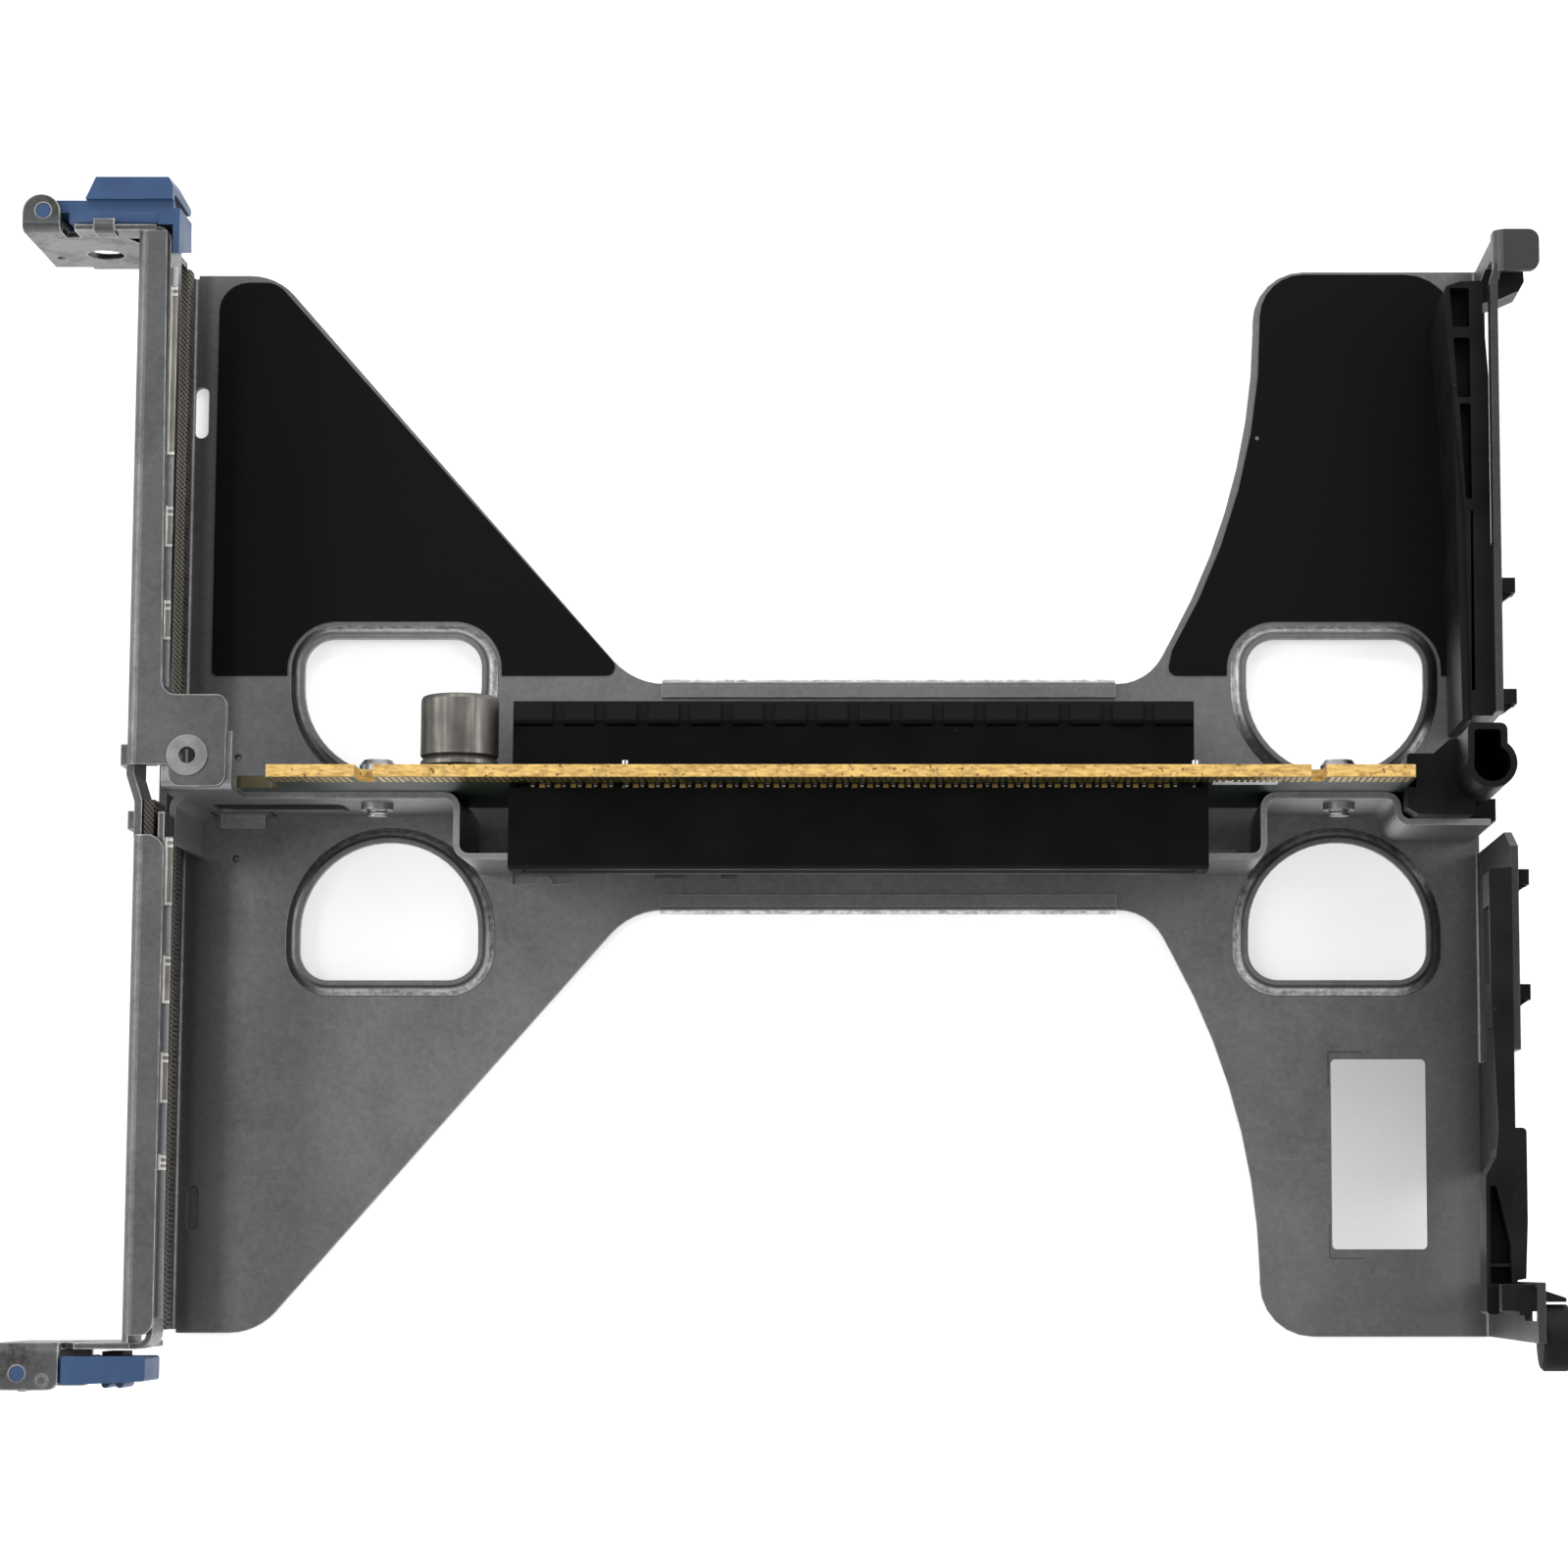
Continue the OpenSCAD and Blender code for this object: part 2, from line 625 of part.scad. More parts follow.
module board_screws() color(bright) for (x = screw_x) {
    translate([x, board_y, screw_z]) rotate([-90, 0, 0]) difference() {
        rotate_extrude() polygon([[0, 0], [2.7, 0], [2.7, 0.6], [2.4, 0.8], [2.4, 2.6], [1.9, 3.3],
                                  [0, 3.5]]);
        translate([-1.8, -0.3, 2.6]) cube([3.6, 0.6, 2]);
        translate([-0.3, -1.8, 2.6]) cube([0.6, 3.6, 2]);
    }
    rod_y(x, screw_z, screw_r, -4.4, board_y + 0.1);
}

module board_pegs() color(bright)
    for (x = peg_x) rod_y(x, lower_slot_z + slot_w / 2, 0.5, board_back - lower_slot_gap, 1.3);

// ---------- Card slots ----------

// Housing with its card mouth towards +Y; x0 is its left end and z0 its lower face
module slot_housing(x0, z0, back, mouth) {
    middle = z0 + slot_w / 2;
    key_x = x0 + 14.2;
    difference() {
        children();
        for (span = [[x0 + 2, key_x - 0.7], [key_x + 0.7, x0 + slot_len - 2]])
            box([span[0], back - 1, middle - slot_cavity / 2],
                [span[1], mouth + 1, middle + slot_cavity / 2]);
        // Lead-in along the mouth
        along_x(x0 + 1.6, x0 + slot_len - 1.6)
            polygon([[mouth - 1.1, middle], [mouth + eps, middle - 2.3], [mouth + eps, middle + 2.3]]);
    }
}

module upper_slot_housing() color(black) {
    step = (slot_len - 2 * end_pad + pad_gap * -1) / mid_pads;
    slot_housing(upper_slot_x, upper_slot_z, board_y, upper_slot_mouth) union() {
        box([upper_slot_x, board_y, upper_slot_z + 0.5],
            [upper_slot_x + slot_len, upper_slot_mouth, upper_slot_z + slot_w - 0.5]);
        // Raised pads along both edges of the mouth
        for (i = [0:mid_pads + 1]) {
            x = i == 0 ? 0.1 : end_pad + pad_gap + (i - 1) * step;
            w = i == 0 || i == mid_pads + 1 ? end_pad : step - pad_gap;
            x1 = i == mid_pads + 1 ? slot_len - 0.1 : x + w;
            along_x(upper_slot_x + x1 - w, upper_slot_x + x1)
                polygon([[7.1, upper_slot_z + 0.5], [7.4, upper_slot_z],
                         [upper_slot_mouth - 0.3, upper_slot_z],
                         [upper_slot_mouth - 0.3, upper_slot_z + slot_w], [7.4, upper_slot_z + slot_w],
                         [7.1, upper_slot_z + slot_w - 0.5]]);
        }
    }
}

module lower_slot_housing() color(black) mirror([0, 1, 0]) {
    back = -board_back + lower_slot_gap;
    mouth = -lower_slot_mouth;
    top = lower_slot_z + slot_w;
    slot_housing(lower_slot_x, lower_slot_z, back - 1, mouth) union() {
        along_x(lower_slot_x, lower_slot_x + slot_len)
            polygon([[back, lower_slot_z], [mouth - 0.5, lower_slot_z], [mouth, lower_slot_z + 0.5],
                     [mouth, top - 0.5],
                     [mouth - 0.4, top], [back, top]]);
        // Standoff feet that keep the housing off the board
        for (x = [lower_slot_x, lower_slot_x + slot_len - foot_w])
            box([x, -board_back, lower_slot_z + 1], [x + foot_w, back + eps, top - 1]);
    }
}

// One contact for each side of the card, bent outwards where it meets the board
module slot_contacts(x0, z0, board, back, mouth) {
    middle = z0 + slot_w / 2;
    count = floor((slot_len - 8) / contact_pitch);
    key_x = x0 + 14.2;
    for (i = [0:count]) {
        x = x0 + 4 + i * contact_pitch;
        if (abs(x - key_x) > 1.3)
            for (side = [0, 1]) translate([0, 0, middle]) mirror([0, 0, side])
                along_x(x - contact_w / 2, x + contact_w / 2)
                    polygon([[board, 0.9], [mouth - 2.4, 0.9], [mouth - 1.8, 1.45], [board, 1.45]]);
    }
}

module upper_slot_contacts() color(gold)
    slot_contacts(upper_slot_x, upper_slot_z, board_y, board_y, upper_slot_mouth);

module lower_slot_contacts() color(gold) mirror([0, 1, 0])
    slot_contacts(lower_slot_x, lower_slot_z, -board_back, -board_back, -lower_slot_mouth);

// ---------- Capacitor ----------

can_x = -47.8;
can_z = 18;
can_r = 5.1;
can_foot = 1.6;

module capacitor_can() color([0.62, 0.60, 0.58])
    translate([can_x, can_foot, can_z]) rotate([-90, 0, 0])
        rotate_extrude()
            polygon([[0, 0], [can_r - 0.4, 0], [can_r, 0.4], [can_r, 0.9], [can_r - 0.35, 1.3], [can_r, 1.7],
                     [can_r, 9], [can_r - 0.2, 9.45], [can_r - 0.6, 9.6], [can_r - 1.1, 9.35], [0, 9.35]]);

module capacitor_base() color(black) difference() {
    along_y(board_y, can_foot)
        shape([[can_x - 5.3, can_z - 5.3, 0.3], [can_x + 5.3, can_z - 5.3, 0.3],
               [can_x + 5.3, can_z + 5.3, 1.6],
               [can_x - 5.3, can_z + 5.3, 1.6]]);
    for (dz = [-5.4, 4.2]) box([can_x - 2, board_y - eps, can_z + dz], [can_x + 2, 0.6, can_z + dz + 1.2]);
}

// ---------- Plastic end holder, guides and bumper ----------

tube = [85.15, -0.2];
tube_top = 40;

module keyhole(grow) {
    translate(tube) circle(r = 2.35 + grow);
    rounded_rect(82.9 - grow, tube.y, 86.3 + grow, 4.1 + grow, 0.5 + grow / 2);
}

module board_end_holder() color(black) difference() {
    union() {
        along_z(sheet_t, 28)
            shape([[board_x1, -4.5, 0], [77, -5.4, 0], [84.4, -5.4, 0.5], [84.4, 2.5, 0.5],
                   [board_x1, 2.5, 0.5]]);
        box([84, -5.4, sheet_t], [88, -2.5, 20]);
        along_z(14, tube_top) keyhole(0.8);
        along_z(14, 28) shape([[78.5, 2, 0], [84, 2, 0], [84, 4.6, 0.5], [81.2, 4.4, 1.5]]);
    }
    along_z(19, tube_top + 1) keyhole(0);
    // Channel that takes the board's end
    box([board_x1 - 1, board_back - 0.02, 3.5], [board_x1 + 1.2, board_y + 0.02, 30]);
}

// Snap peg that holds a guide in the wall, with a barb on its -Y side
module guide_peg(y, z) {
    side = peg_w / 2 - 0.1;
    box([wall_x - sheet_t - 0.5, y - side, z + 0.1], [peg_tip, y + side, z + peg_h - 0.1]);
    along_z(z + 0.5, z + peg_h - 1)
        polygon([[wall_x + 0.05, y - side - 1], [wall_x + 0.6, y - side - 1], [peg_tip - 0.2, y - side],
                 [peg_tip - 0.2, y], [wall_x + 0.05, y]]);
}

module upper_card_guide() color(black) {
    inner = wall_x - sheet_t;
    rail = 19;
    difference() {
        union() {
            // Back rail against the wall
            along_z(1.5, rail)
                shape([[85.1, 8.6, 0.3], [inner, 8.6, 0], [inner, 54, 0], [87.35, 62.9, 0], [87.4, 67, 0.3],
                       [84.4, 66.9, 1.4], [82.4, 66.2, 0.5], [82.3, 63, 0], [84.6, 36, 0]]);
            // Front rail, thin and slightly lower
            along_z(1.5, rail - 0.5)
                shape([[84.0, 8, 0.3], [85.2, 8, 0.3], [85.2, 36, 0], [83.5, 62, 0], [82.3, 65, 0.3],
                       [82.2, 63, 0],
                       [83.4, 49, 0]]);
        }
        // Card groove, open towards the board side
        along_z(15, rail + 1) polygon([[85.2, 12], [85.7, 12], [85.7, 36], [85.4, 36]]);
        // Pockets along the top of the spring arm
        along_z(15.5, rail + 1) shape([[82.95, 66, 0.2], [85.6, 66, 0.3], [85.6, 60.7, 0.3],
                                       [83.35, 60.7, 0.3]]);
        along_z(16, rail + 1) shape([[83.4, 59.3, 0.3], [85.6, 59.3, 0.3], [85.6, 51.2, 0.3],
                                     [83.9, 51.2, 0.3]]);
        along_z(16, rail + 1) shape([[84.1, 50.4, 0.3], [85.6, 50.4, 0.3], [85.6, 37.5, 0.3],
                                     [84.8, 37.5, 0.3]]);
    }
    for (y = upper_pegs) guide_peg(y, peg_z_upper);
    // Hook at the spring arm's tip, reaching out through the wall's window
    along_z(11, 17.5)
        polygon([[86.8, 64.1], [wall_x + 0.7, 64.8], [92.4, 66], [93.1, 67.2], [93, 68.9], [88, 68.9],
                 [86.8, 66]]);
}

module lower_card_guide() color(black) {
    inner = wall_x - sheet_t;
    top = 35;
    shelf = 28.5;
    end_y = -69.2;
    hook = [38.5, 45.5];
    difference() {
        union() {
            along_z(shelf, top)
                shape([[85.1, -13.2, 0.3], [inner, -12.9, 0], [inner, -45.9, 0], [89.4, -45.9, 0.6],
                       [89.4, -57.6, 0],
                       [89.1, -64.8, 0], [inner, -65, 0], [inner, end_y, 0], [84.1, end_y, 0.4],
                       [84.2, -52, 0.3],
                       [85.5, -49.6, 0], [85.9, -46, 0], [85.2, -29.6, 0]]);
            // Back plate against the wall
            box([87.3, end_y + 0.2, 12], [inner, -13, top]);
            // Block behind the tail
            along_y(end_y, -65.6)
                polygon([[85.5, shelf], [inner + 0.3, shelf], [inner + 0.3, hook[1]], [86.8, hook[1]],
                         [85.5, 41]]);
        }
        // Reliefs under the rim
        for (y = [[-17.7, -27.6], [-33.2, -48.5]]) box([84, y[1], shelf - 1], [87, y[0], top - 0.8]);
        // Pocket in the wide end
        along_z(top - 4, top + 1)
            shape([[84.7, -53.2, 0.2], [85.5, -53.2, 0.2], [87.2, -60.5, 0.3], [87.3, -65.4, 0],
                   [84.6, -65.4, 0.2]]);
    }
    // Rib across the pocket
    box([84.6, -63.3, top - 4.2], [87.3, -62.9, top - 0.4]);
    for (y = lower_pegs) guide_peg(y, peg_z_lower);
    // Tail that hooks through the window in the lug
    along_z(hook[0], hook[1])
        shape([[inner, -65.9, 0], [right_x, -66.1, 0], [90.8, -66.5, 0.4], [92.6, -67.1, 0.2],
               [92.6, -67.6, 0.15],
               [inner, -67.6, 0]]);
}

module lug_bumper() color(black)
    translate([right_x, -72, 43.2]) rotate([0, 90, 0])
        rotate_extrude()
            polygon([[0, 0], [3.7, 0], [4.1, 0.4], [4.1, 3.2], [3.6, 3.8], [0, 3.8]]);

// ---------- Films and label ----------

film_t = 0.25;

module film_top() {
    along_z(sheet_t, sheet_t + film_t) difference() {
        children();
        for (x = grip_x) translate([x, grip_upper_y]) grip_shape(lip_w + 0.15);
    }
}

module left_film() color(film_black) film_top()
    shape([[-83.8, 16.5, 0.8], [-83.8, 71, 4], [-75.94, 71, 3.5], [-27.6, 16.5, 1.2]]);

module right_film() color(film_black) film_top()
    polygon(outline(concat(
        [[45.9, 16.5, 1.2]],
        [for (a = [-30:5:-1]) [59 - wing_r + wing_r * cos(a), 66 + wing_r * sin(a), 0]],
        [[59.2, 72.2, 6], [85.8, 72.2, 7], [86.2, 16.5, 0.5]]
    )));

module blank_label() color("white") along_z(sheet_t, sheet_t + 0.12)
    rounded_rect(67.7, -61, 80.4, -35.6, 0.65);

cage_plate();
rear_frame();
carrier_wall();
guide_bushing();
upper_latch_bracket();
lower_latch_bracket();
upper_latch();
lower_latch();
latch_pad();
upper_ground_fingers();
lower_ground_fingers();
upper_gasket();
lower_gasket();
upper_channel_gasket();
lower_channel_gasket();
riser_board();
board_screws();
board_pegs();
upper_slot_housing();
lower_slot_housing();
upper_slot_contacts();
lower_slot_contacts();
capacitor_can();
capacitor_base();
board_end_holder();
upper_card_guide();
lower_card_guide();
lug_bumper();
left_film();
right_film();
blank_label();
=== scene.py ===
# %% [markdown]
# # Riser cage bracket
# A cage of pressed galvanised steel carries an upright circuit board, two card slots and two blue latches.
# Its solids come from the shared frame at their real size, so this script adds what the solids leave plain:
# the finish of every surface and the small trim. Each step says what the piece is and how it is made.

# %% Load the solids
import math

import bmesh
import bpy
from mathutils import Matrix, Vector


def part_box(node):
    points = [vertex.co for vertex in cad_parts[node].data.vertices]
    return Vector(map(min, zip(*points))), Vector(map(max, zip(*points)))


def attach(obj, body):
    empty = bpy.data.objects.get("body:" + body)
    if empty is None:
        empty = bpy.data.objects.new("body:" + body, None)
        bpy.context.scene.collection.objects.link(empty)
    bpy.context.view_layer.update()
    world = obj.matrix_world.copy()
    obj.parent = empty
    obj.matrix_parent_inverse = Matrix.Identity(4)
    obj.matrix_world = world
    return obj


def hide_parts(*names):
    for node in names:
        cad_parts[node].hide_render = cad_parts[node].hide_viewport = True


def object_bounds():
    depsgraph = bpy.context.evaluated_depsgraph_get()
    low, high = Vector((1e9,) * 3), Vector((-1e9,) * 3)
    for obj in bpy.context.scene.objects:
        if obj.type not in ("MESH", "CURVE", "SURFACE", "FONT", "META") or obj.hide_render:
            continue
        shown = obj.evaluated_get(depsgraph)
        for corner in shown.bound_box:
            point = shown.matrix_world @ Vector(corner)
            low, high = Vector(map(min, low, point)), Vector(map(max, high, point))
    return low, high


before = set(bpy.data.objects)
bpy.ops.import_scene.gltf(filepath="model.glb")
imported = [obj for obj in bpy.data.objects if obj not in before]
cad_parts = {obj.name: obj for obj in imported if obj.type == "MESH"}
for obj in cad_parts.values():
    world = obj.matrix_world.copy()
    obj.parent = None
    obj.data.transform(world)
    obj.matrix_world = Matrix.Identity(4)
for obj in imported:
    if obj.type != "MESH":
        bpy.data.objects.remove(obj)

cad_low, cad_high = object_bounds()
mm = 0.001
print("size in mm:", [round(side / mm, 1) for side in cad_high - cad_low])

# %% [markdown]
# ## Building shaders from short calls
# A material here is a chain of nodes. Small helpers keep each chain readable: they add a node and fill its
# sockets, do arithmetic, stretch a range of values to 0..1, mix colours, tell where a point is and which way
# it faces, and lay noise over the piece.

# %% Shader helpers
def fill(tree, socket, value):
    """Links value when it is a socket, and sets it when it is a number or a colour."""
    if isinstance(value, bpy.types.NodeSocket):
        tree.links.new(value, socket)
    else:
        socket.default_value = value


def add(tree, kind, sockets=None, **settings):
    made = tree.nodes.new(kind)
    for key, value in settings.items():
        setattr(made, key, value)
    for key, value in (sockets or {}).items():
        fill(tree, made.inputs[key], value)
    return made


def calc(tree, operation, *values):
    return add(tree, "ShaderNodeMath", dict(enumerate(values)), operation=operation).outputs[0]


def product(tree, first, *others):
    for other in others:
        first = calc(tree, "MULTIPLY", first, other)
    return first


def remap(tree, value, low, high, to_low=0.0, to_high=1.0):
    """Stretches low..high to to_low..to_high and holds it there."""
    sockets = {"Value": value, "From Min": low, "From Max": high, "To Min": to_low, "To Max": to_high}
    return add(tree, "ShaderNodeMapRange", sockets).outputs["Result"]


def mix(tree, factor, first, second):
    """Mixes two colours."""
    return add(tree, "ShaderNodeMix", {0: factor, 6: first, 7: second}, data_type="RGBA").outputs[2]


def grey(value):
    return (value, value, value, 1)


def shade_of(colour, share):
    """A plain colour made darker or paler by a share."""
    return tuple(c * share for c in colour[:3]) + (1,)


def darken(tree, colour, mask, keep):
    """Scales a colour to `keep` of itself where the mask is 1."""
    share = remap(tree, mask, 0.0, 1.0, 1.0, keep)
    return add(tree, "ShaderNodeVectorMath", {0: colour, "Scale": share}, operation="SCALE").outputs[0]


def on_piece(tree):
    """The point's place on the piece, in metres."""
    return add(tree, "ShaderNodeTexCoord").outputs["Object"]


def stretched(tree, scale):
    """The point's place on the piece, stretched along X, Y and Z for a pattern."""
    return add(tree, "ShaderNodeMapping", {"Vector": on_piece(tree), "Scale": scale}).outputs[0]


def place_along(tree, axis):
    """The point's place along X, Y or Z on the piece, in metres."""
    return add(tree, "ShaderNodeSeparateXYZ", {"Vector": on_piece(tree)}).outputs[axis]


def ramp_along(tree, axis, start, end):
    """0 before start and 1 past end, two places along X, Y or Z in millimetres."""
    return remap(tree, place_along(tree, axis), start * mm, end * mm)


def facing_along(tree, axis):
    """1 where the surface faces along X, Y or Z, and 0 where it lies side on."""
    facing = add(tree, "ShaderNodeTexCoord").outputs["Normal"]
    return calc(tree, "ABSOLUTE", add(tree, "ShaderNodeSeparateXYZ", {"Vector": facing}).outputs[axis])


def noise(tree, place, scale, detail=2.0, roughness=0.5):
    """Noise between 0 and 1, with about `scale` patches to the metre."""
    sockets = {"Vector": place, "Scale": scale, "Detail": detail, "Roughness": roughness}
    return add(tree, "ShaderNodeTexNoise", sockets).outputs[0]


# %% [markdown]
# ## Effects that several finishes share
# Zinc grains, scratches, smudges, worn edges with their painted highlight, dust, cloth and moulded grain each
# turn up in more than one material. Each is built once as a node group with named inputs and outputs, and
# every material places it with its own values.

# %% Helper that opens a node group
def open_group(name, inputs, outputs):
    """A new shader node group with float inputs (name: default) and named float outputs."""
    tree = bpy.data.node_groups.new(name, "ShaderNodeTree")
    for socket, default in inputs.items():
        made = tree.interface.new_socket(name=socket, in_out="INPUT", socket_type="NodeSocketFloat")
        made.default_value = default
    for socket in outputs:
        tree.interface.new_socket(name=socket, in_out="OUTPUT", socket_type="NodeSocketFloat")
    return tree, tree.nodes.new("NodeGroupInput").outputs, tree.nodes.new("NodeGroupOutput").inputs


def place_group(tree, group, **values):
    made = add(tree, "ShaderNodeGroup", node_tree=group)
    for key, value in values.items():
        fill(tree, made.inputs[key.replace("_", " ")], value)
    return made.outputs


# %% [markdown]
# Hot-dip zinc freezes in small crystals, which show as faint light and dark patches about a millimetre
# across, with a finer mottle over them and slow clouds where the sheet was handled. A Voronoi texture gives
# each crystal its own shade, and two noise textures give the rest.

# %% Zinc grain group
def build_zinc_grain():
    tree, given, out = open_group("Zinc grain", {"Crystal mm": 0.8}, ["Crystals", "Mottle", "Clouds"])
    place = on_piece(tree)
    per_metre = calc(tree, "DIVIDE", 1000.0, given["Crystal mm"])
    cells = add(tree, "ShaderNodeTexVoronoi", {"Vector": place, "Scale": per_metre, "Randomness": 1.0})
    shade = add(tree, "ShaderNodeSeparateColor", {"Color": cells.outputs["Color"]}).outputs[0]
    fill(tree, out["Crystals"], shade)
    fine = noise(tree, place, 1400.0, 3.0, 0.65)
    fill(tree, out["Mottle"], remap(tree, fine, 0.3, 0.7))
    slow = noise(tree, place, 60.0, 4.0, 0.6)
    fill(tree, out["Clouds"], remap(tree, slow, 0.3, 0.7))
    return tree


zinc_grain = build_zinc_grain()

# %% [markdown]
# Sheet metal is scratched along the way it was slid. Noise stretched to long thin streaks, cut off high so
# that few are left, reads as scratches. A second noise keeps them in patches.

# %% Scratches group
def build_scratches():
    tree, given, out = open_group("Scratches", {"Turn": 0.0, "Amount": 0.3}, ["Mask"])
    place = on_piece(tree)
    turn = add(tree, "ShaderNodeCombineXYZ", {"Z": given["Turn"]}).outputs[0]
    long_way = add(tree, "ShaderNodeMapping", {"Vector": place, "Rotation": turn, "Scale": (60, 2600, 900)})
    streak = noise(tree, long_way.outputs[0], 1.0, 2.0)
    patch = noise(tree, place, 45.0, 1.0)
    few = remap(tree, streak, 0.68, 0.78)
    near = remap(tree, patch, 0.5, 0.65)
    fill(tree, out["Mask"], product(tree, few, near, given["Amount"]))
    return tree


scratches = build_scratches()

# %% [markdown]
# Hands, oil and the press leave brown smudges that gather in patches. Two noises of different size, each cut
# off at a level, are multiplied, so that the smudges stay few and break up at their borders.

# %% Smudges group
def build_smudges():
    tree, given, out = open_group("Smudges", {"Patch mm": 6.0, "Amount": 0.5}, ["Mask"])
    place = on_piece(tree)
    per_metre = calc(tree, "DIVIDE", 1000.0, given["Patch mm"])
    wide = noise(tree, place, per_metre, 4.0, 0.6)
    fine = noise(tree, place, 1600.0, 3.0, 0.7)
    patch = remap(tree, wide, 0.5, 0.64)
    broken = remap(tree, fine, 0.38, 0.58, 0.25, 1.0)
    fill(tree, out["Mask"], product(tree, patch, broken, given["Amount"]))
    return tree


smudges = build_smudges()

# %% [markdown]
# Edges are painted bright: worn where a part is handled, and a painted highlight where light would catch a
# rounded corner. The Bevel node gives the direction that a rounded corner would have; where it differs from
# the flat surface's own direction, the point is close to an edge.

# %% Edge wear and painted highlight group
def build_edge_wear_and_painted_highlight():
    tree, given, out = open_group("Edge wear and painted highlight", {"Width mm": 0.12, "Amount": 0.6}, ["Mask"])
    radius = product(tree, given["Width mm"], mm)
    rounded = add(tree, "ShaderNodeBevel", {"Radius": radius}, samples=4).outputs["Normal"]
    flat = add(tree, "ShaderNodeNewGeometry").outputs["Normal"]
    same = add(tree, "ShaderNodeVectorMath", {0: rounded, 1: flat}, operation="DOT_PRODUCT").outputs["Value"]
    near = remap(tree, same, 0.97, 0.8)
    place = on_piece(tree)
    patch = noise(tree, place, 350.0, 3.0)
    uneven = remap(tree, patch, 0.35, 0.6, 0.25, 1.0)
    fill(tree, out["Mask"], product(tree, near, uneven, given["Amount"]))
    return tree


edge_wear_and_painted_highlight = build_edge_wear_and_painted_highlight()

# %% [markdown]
# Dust settles as separate specks. Voronoi cells give one candidate speck each; only the cells whose random
# shade is high keep theirs, so the specks stay sparse and uneven in size.

# %% Dust group
def build_dust():
    tree, given, out = open_group("Dust", {"Spacing mm": 3.0, "Share": 0.15}, ["Mask"])
    place = on_piece(tree)
    per_metre = calc(tree, "DIVIDE", 1000.0, given["Spacing mm"])
    cells = add(tree, "ShaderNodeTexVoronoi", {"Vector": place, "Scale": per_metre})
    shade = add(tree, "ShaderNodeSeparateColor", {"Color": cells.outputs["Color"]}).outputs[0]
    kept = calc(tree, "GREATER_THAN", shade, calc(tree, "SUBTRACT", 1.0, given["Share"]))
    speck = remap(tree, cells.outputs["Distance"], 0.02, 0.05, 1.0, 0.0)
    fill(tree, out["Mask"], product(tree, kept, speck))
    return tree


dust = build_dust()

# %% [markdown]
# Conductive gasket cloth is a twill of fine plated yarns. Two sets of slanting waves that cross make the
# yarns, and their product is high where one yarn rides over the other.

# %% Cloth weave group
def build_weave():
    tree, given, out = open_group("Cloth weave", {"Yarn mm": 0.42}, ["Height"])
    place = on_piece(tree)
    per_metre = calc(tree, "DIVIDE", 320.0, given["Yarn mm"])
    sets = []
    for slant in (50, -40):
        turned = add(tree, "ShaderNodeMapping", {"Vector": place, "Rotation": (0, 0, math.radians(slant))})
        wave = add(tree, "ShaderNodeTexWave", {"Vector": turned.outputs[0], "Scale": per_metre})
        sets.append(wave.outputs[1])
    fill(tree, out["Height"], calc(tree, "MAXIMUM", product(tree, sets[0], 0.8), sets[1]))
    return tree


weave = build_weave()

# %% [markdown]
# Moulded plastic copies the spark-eroded mould: a very fine pebble that scatters the gloss. It is a small
# bump and a small change of roughness.

# %% Moulded grain group
def build_moulded_grain():
    tree, given, out = open_group("Moulded grain", {"Pebble mm": 0.15}, ["Height", "Patches"])
    place = on_piece(tree)
    per_metre = calc(tree, "DIVIDE", 1000.0, given["Pebble mm"])
    pebble = noise(tree, place, per_metre, 2.0)
    wide = noise(tree, place, 120.0, 3.0)
    fill(tree, out["Height"], pebble)
    fill(tree, out["Patches"], remap(tree, wide, 0.35, 0.65))
    return tree


moulded_grain = build_moulded_grain()
print("effect groups:", [group.name for group in bpy.data.node_groups])

# %% [markdown]
# ## Opening a material
# Every finish ends in one Principled shader. Numbers that are the same all over the surface are set on its
# own sockets, and only what changes from place to place is linked.

# %% Material helper
def open_material(name, **constants):
    """A new material's tree and its Principled shader, with plain values such as Metallic set."""
    material = bpy.data.materials.new(name)
    material.use_nodes = True
    tree = material.node_tree
    shader = tree.nodes["Principled BSDF"]
    for key, value in constants.items():
        shader.inputs[key.replace("_", " ")].default_value = value
    return material, tree, shader


def add_bump(tree, shader, height, depth_mm, strength=1.0):
    bump = add(tree, "ShaderNodeBump", {"Height": height, "Distance": depth_mm * mm, "Strength": strength})
    tree.links.new(bump.outputs["Normal"], shader.inputs["Normal"])


# %% [markdown]
# ## Galvanised steel
# Most of the cage is mild steel sheet with a zinc coat: a mid grey metal, cooler and paler where the coat is
# thick, darker in clouds where it was handled. One function makes it, with the shade, the slide direction and
# the strength of the clouds as its inputs. The channel and the brackets are set 0.58 and 0.54 times as pale
# as the plate; the wall is set 1.6 times paler, painted light on its shaded faces, and the folded strip as
# pale.

# %% Galvanised steel
zinc_dark = (0.150, 0.154, 0.157, 1)
zinc_pale = (0.274, 0.281, 0.286, 1)
# Brown of the smudges, and of the painted shade in the crease at the foot of the plate's lips.
grime_and_crease_shade_brown = (0.035, 0.031, 0.026, 1)
# Pale colour of worn edges, which also carries their painted highlight.
wear_and_highlight_bright = (0.72, 0.72, 0.70, 1)


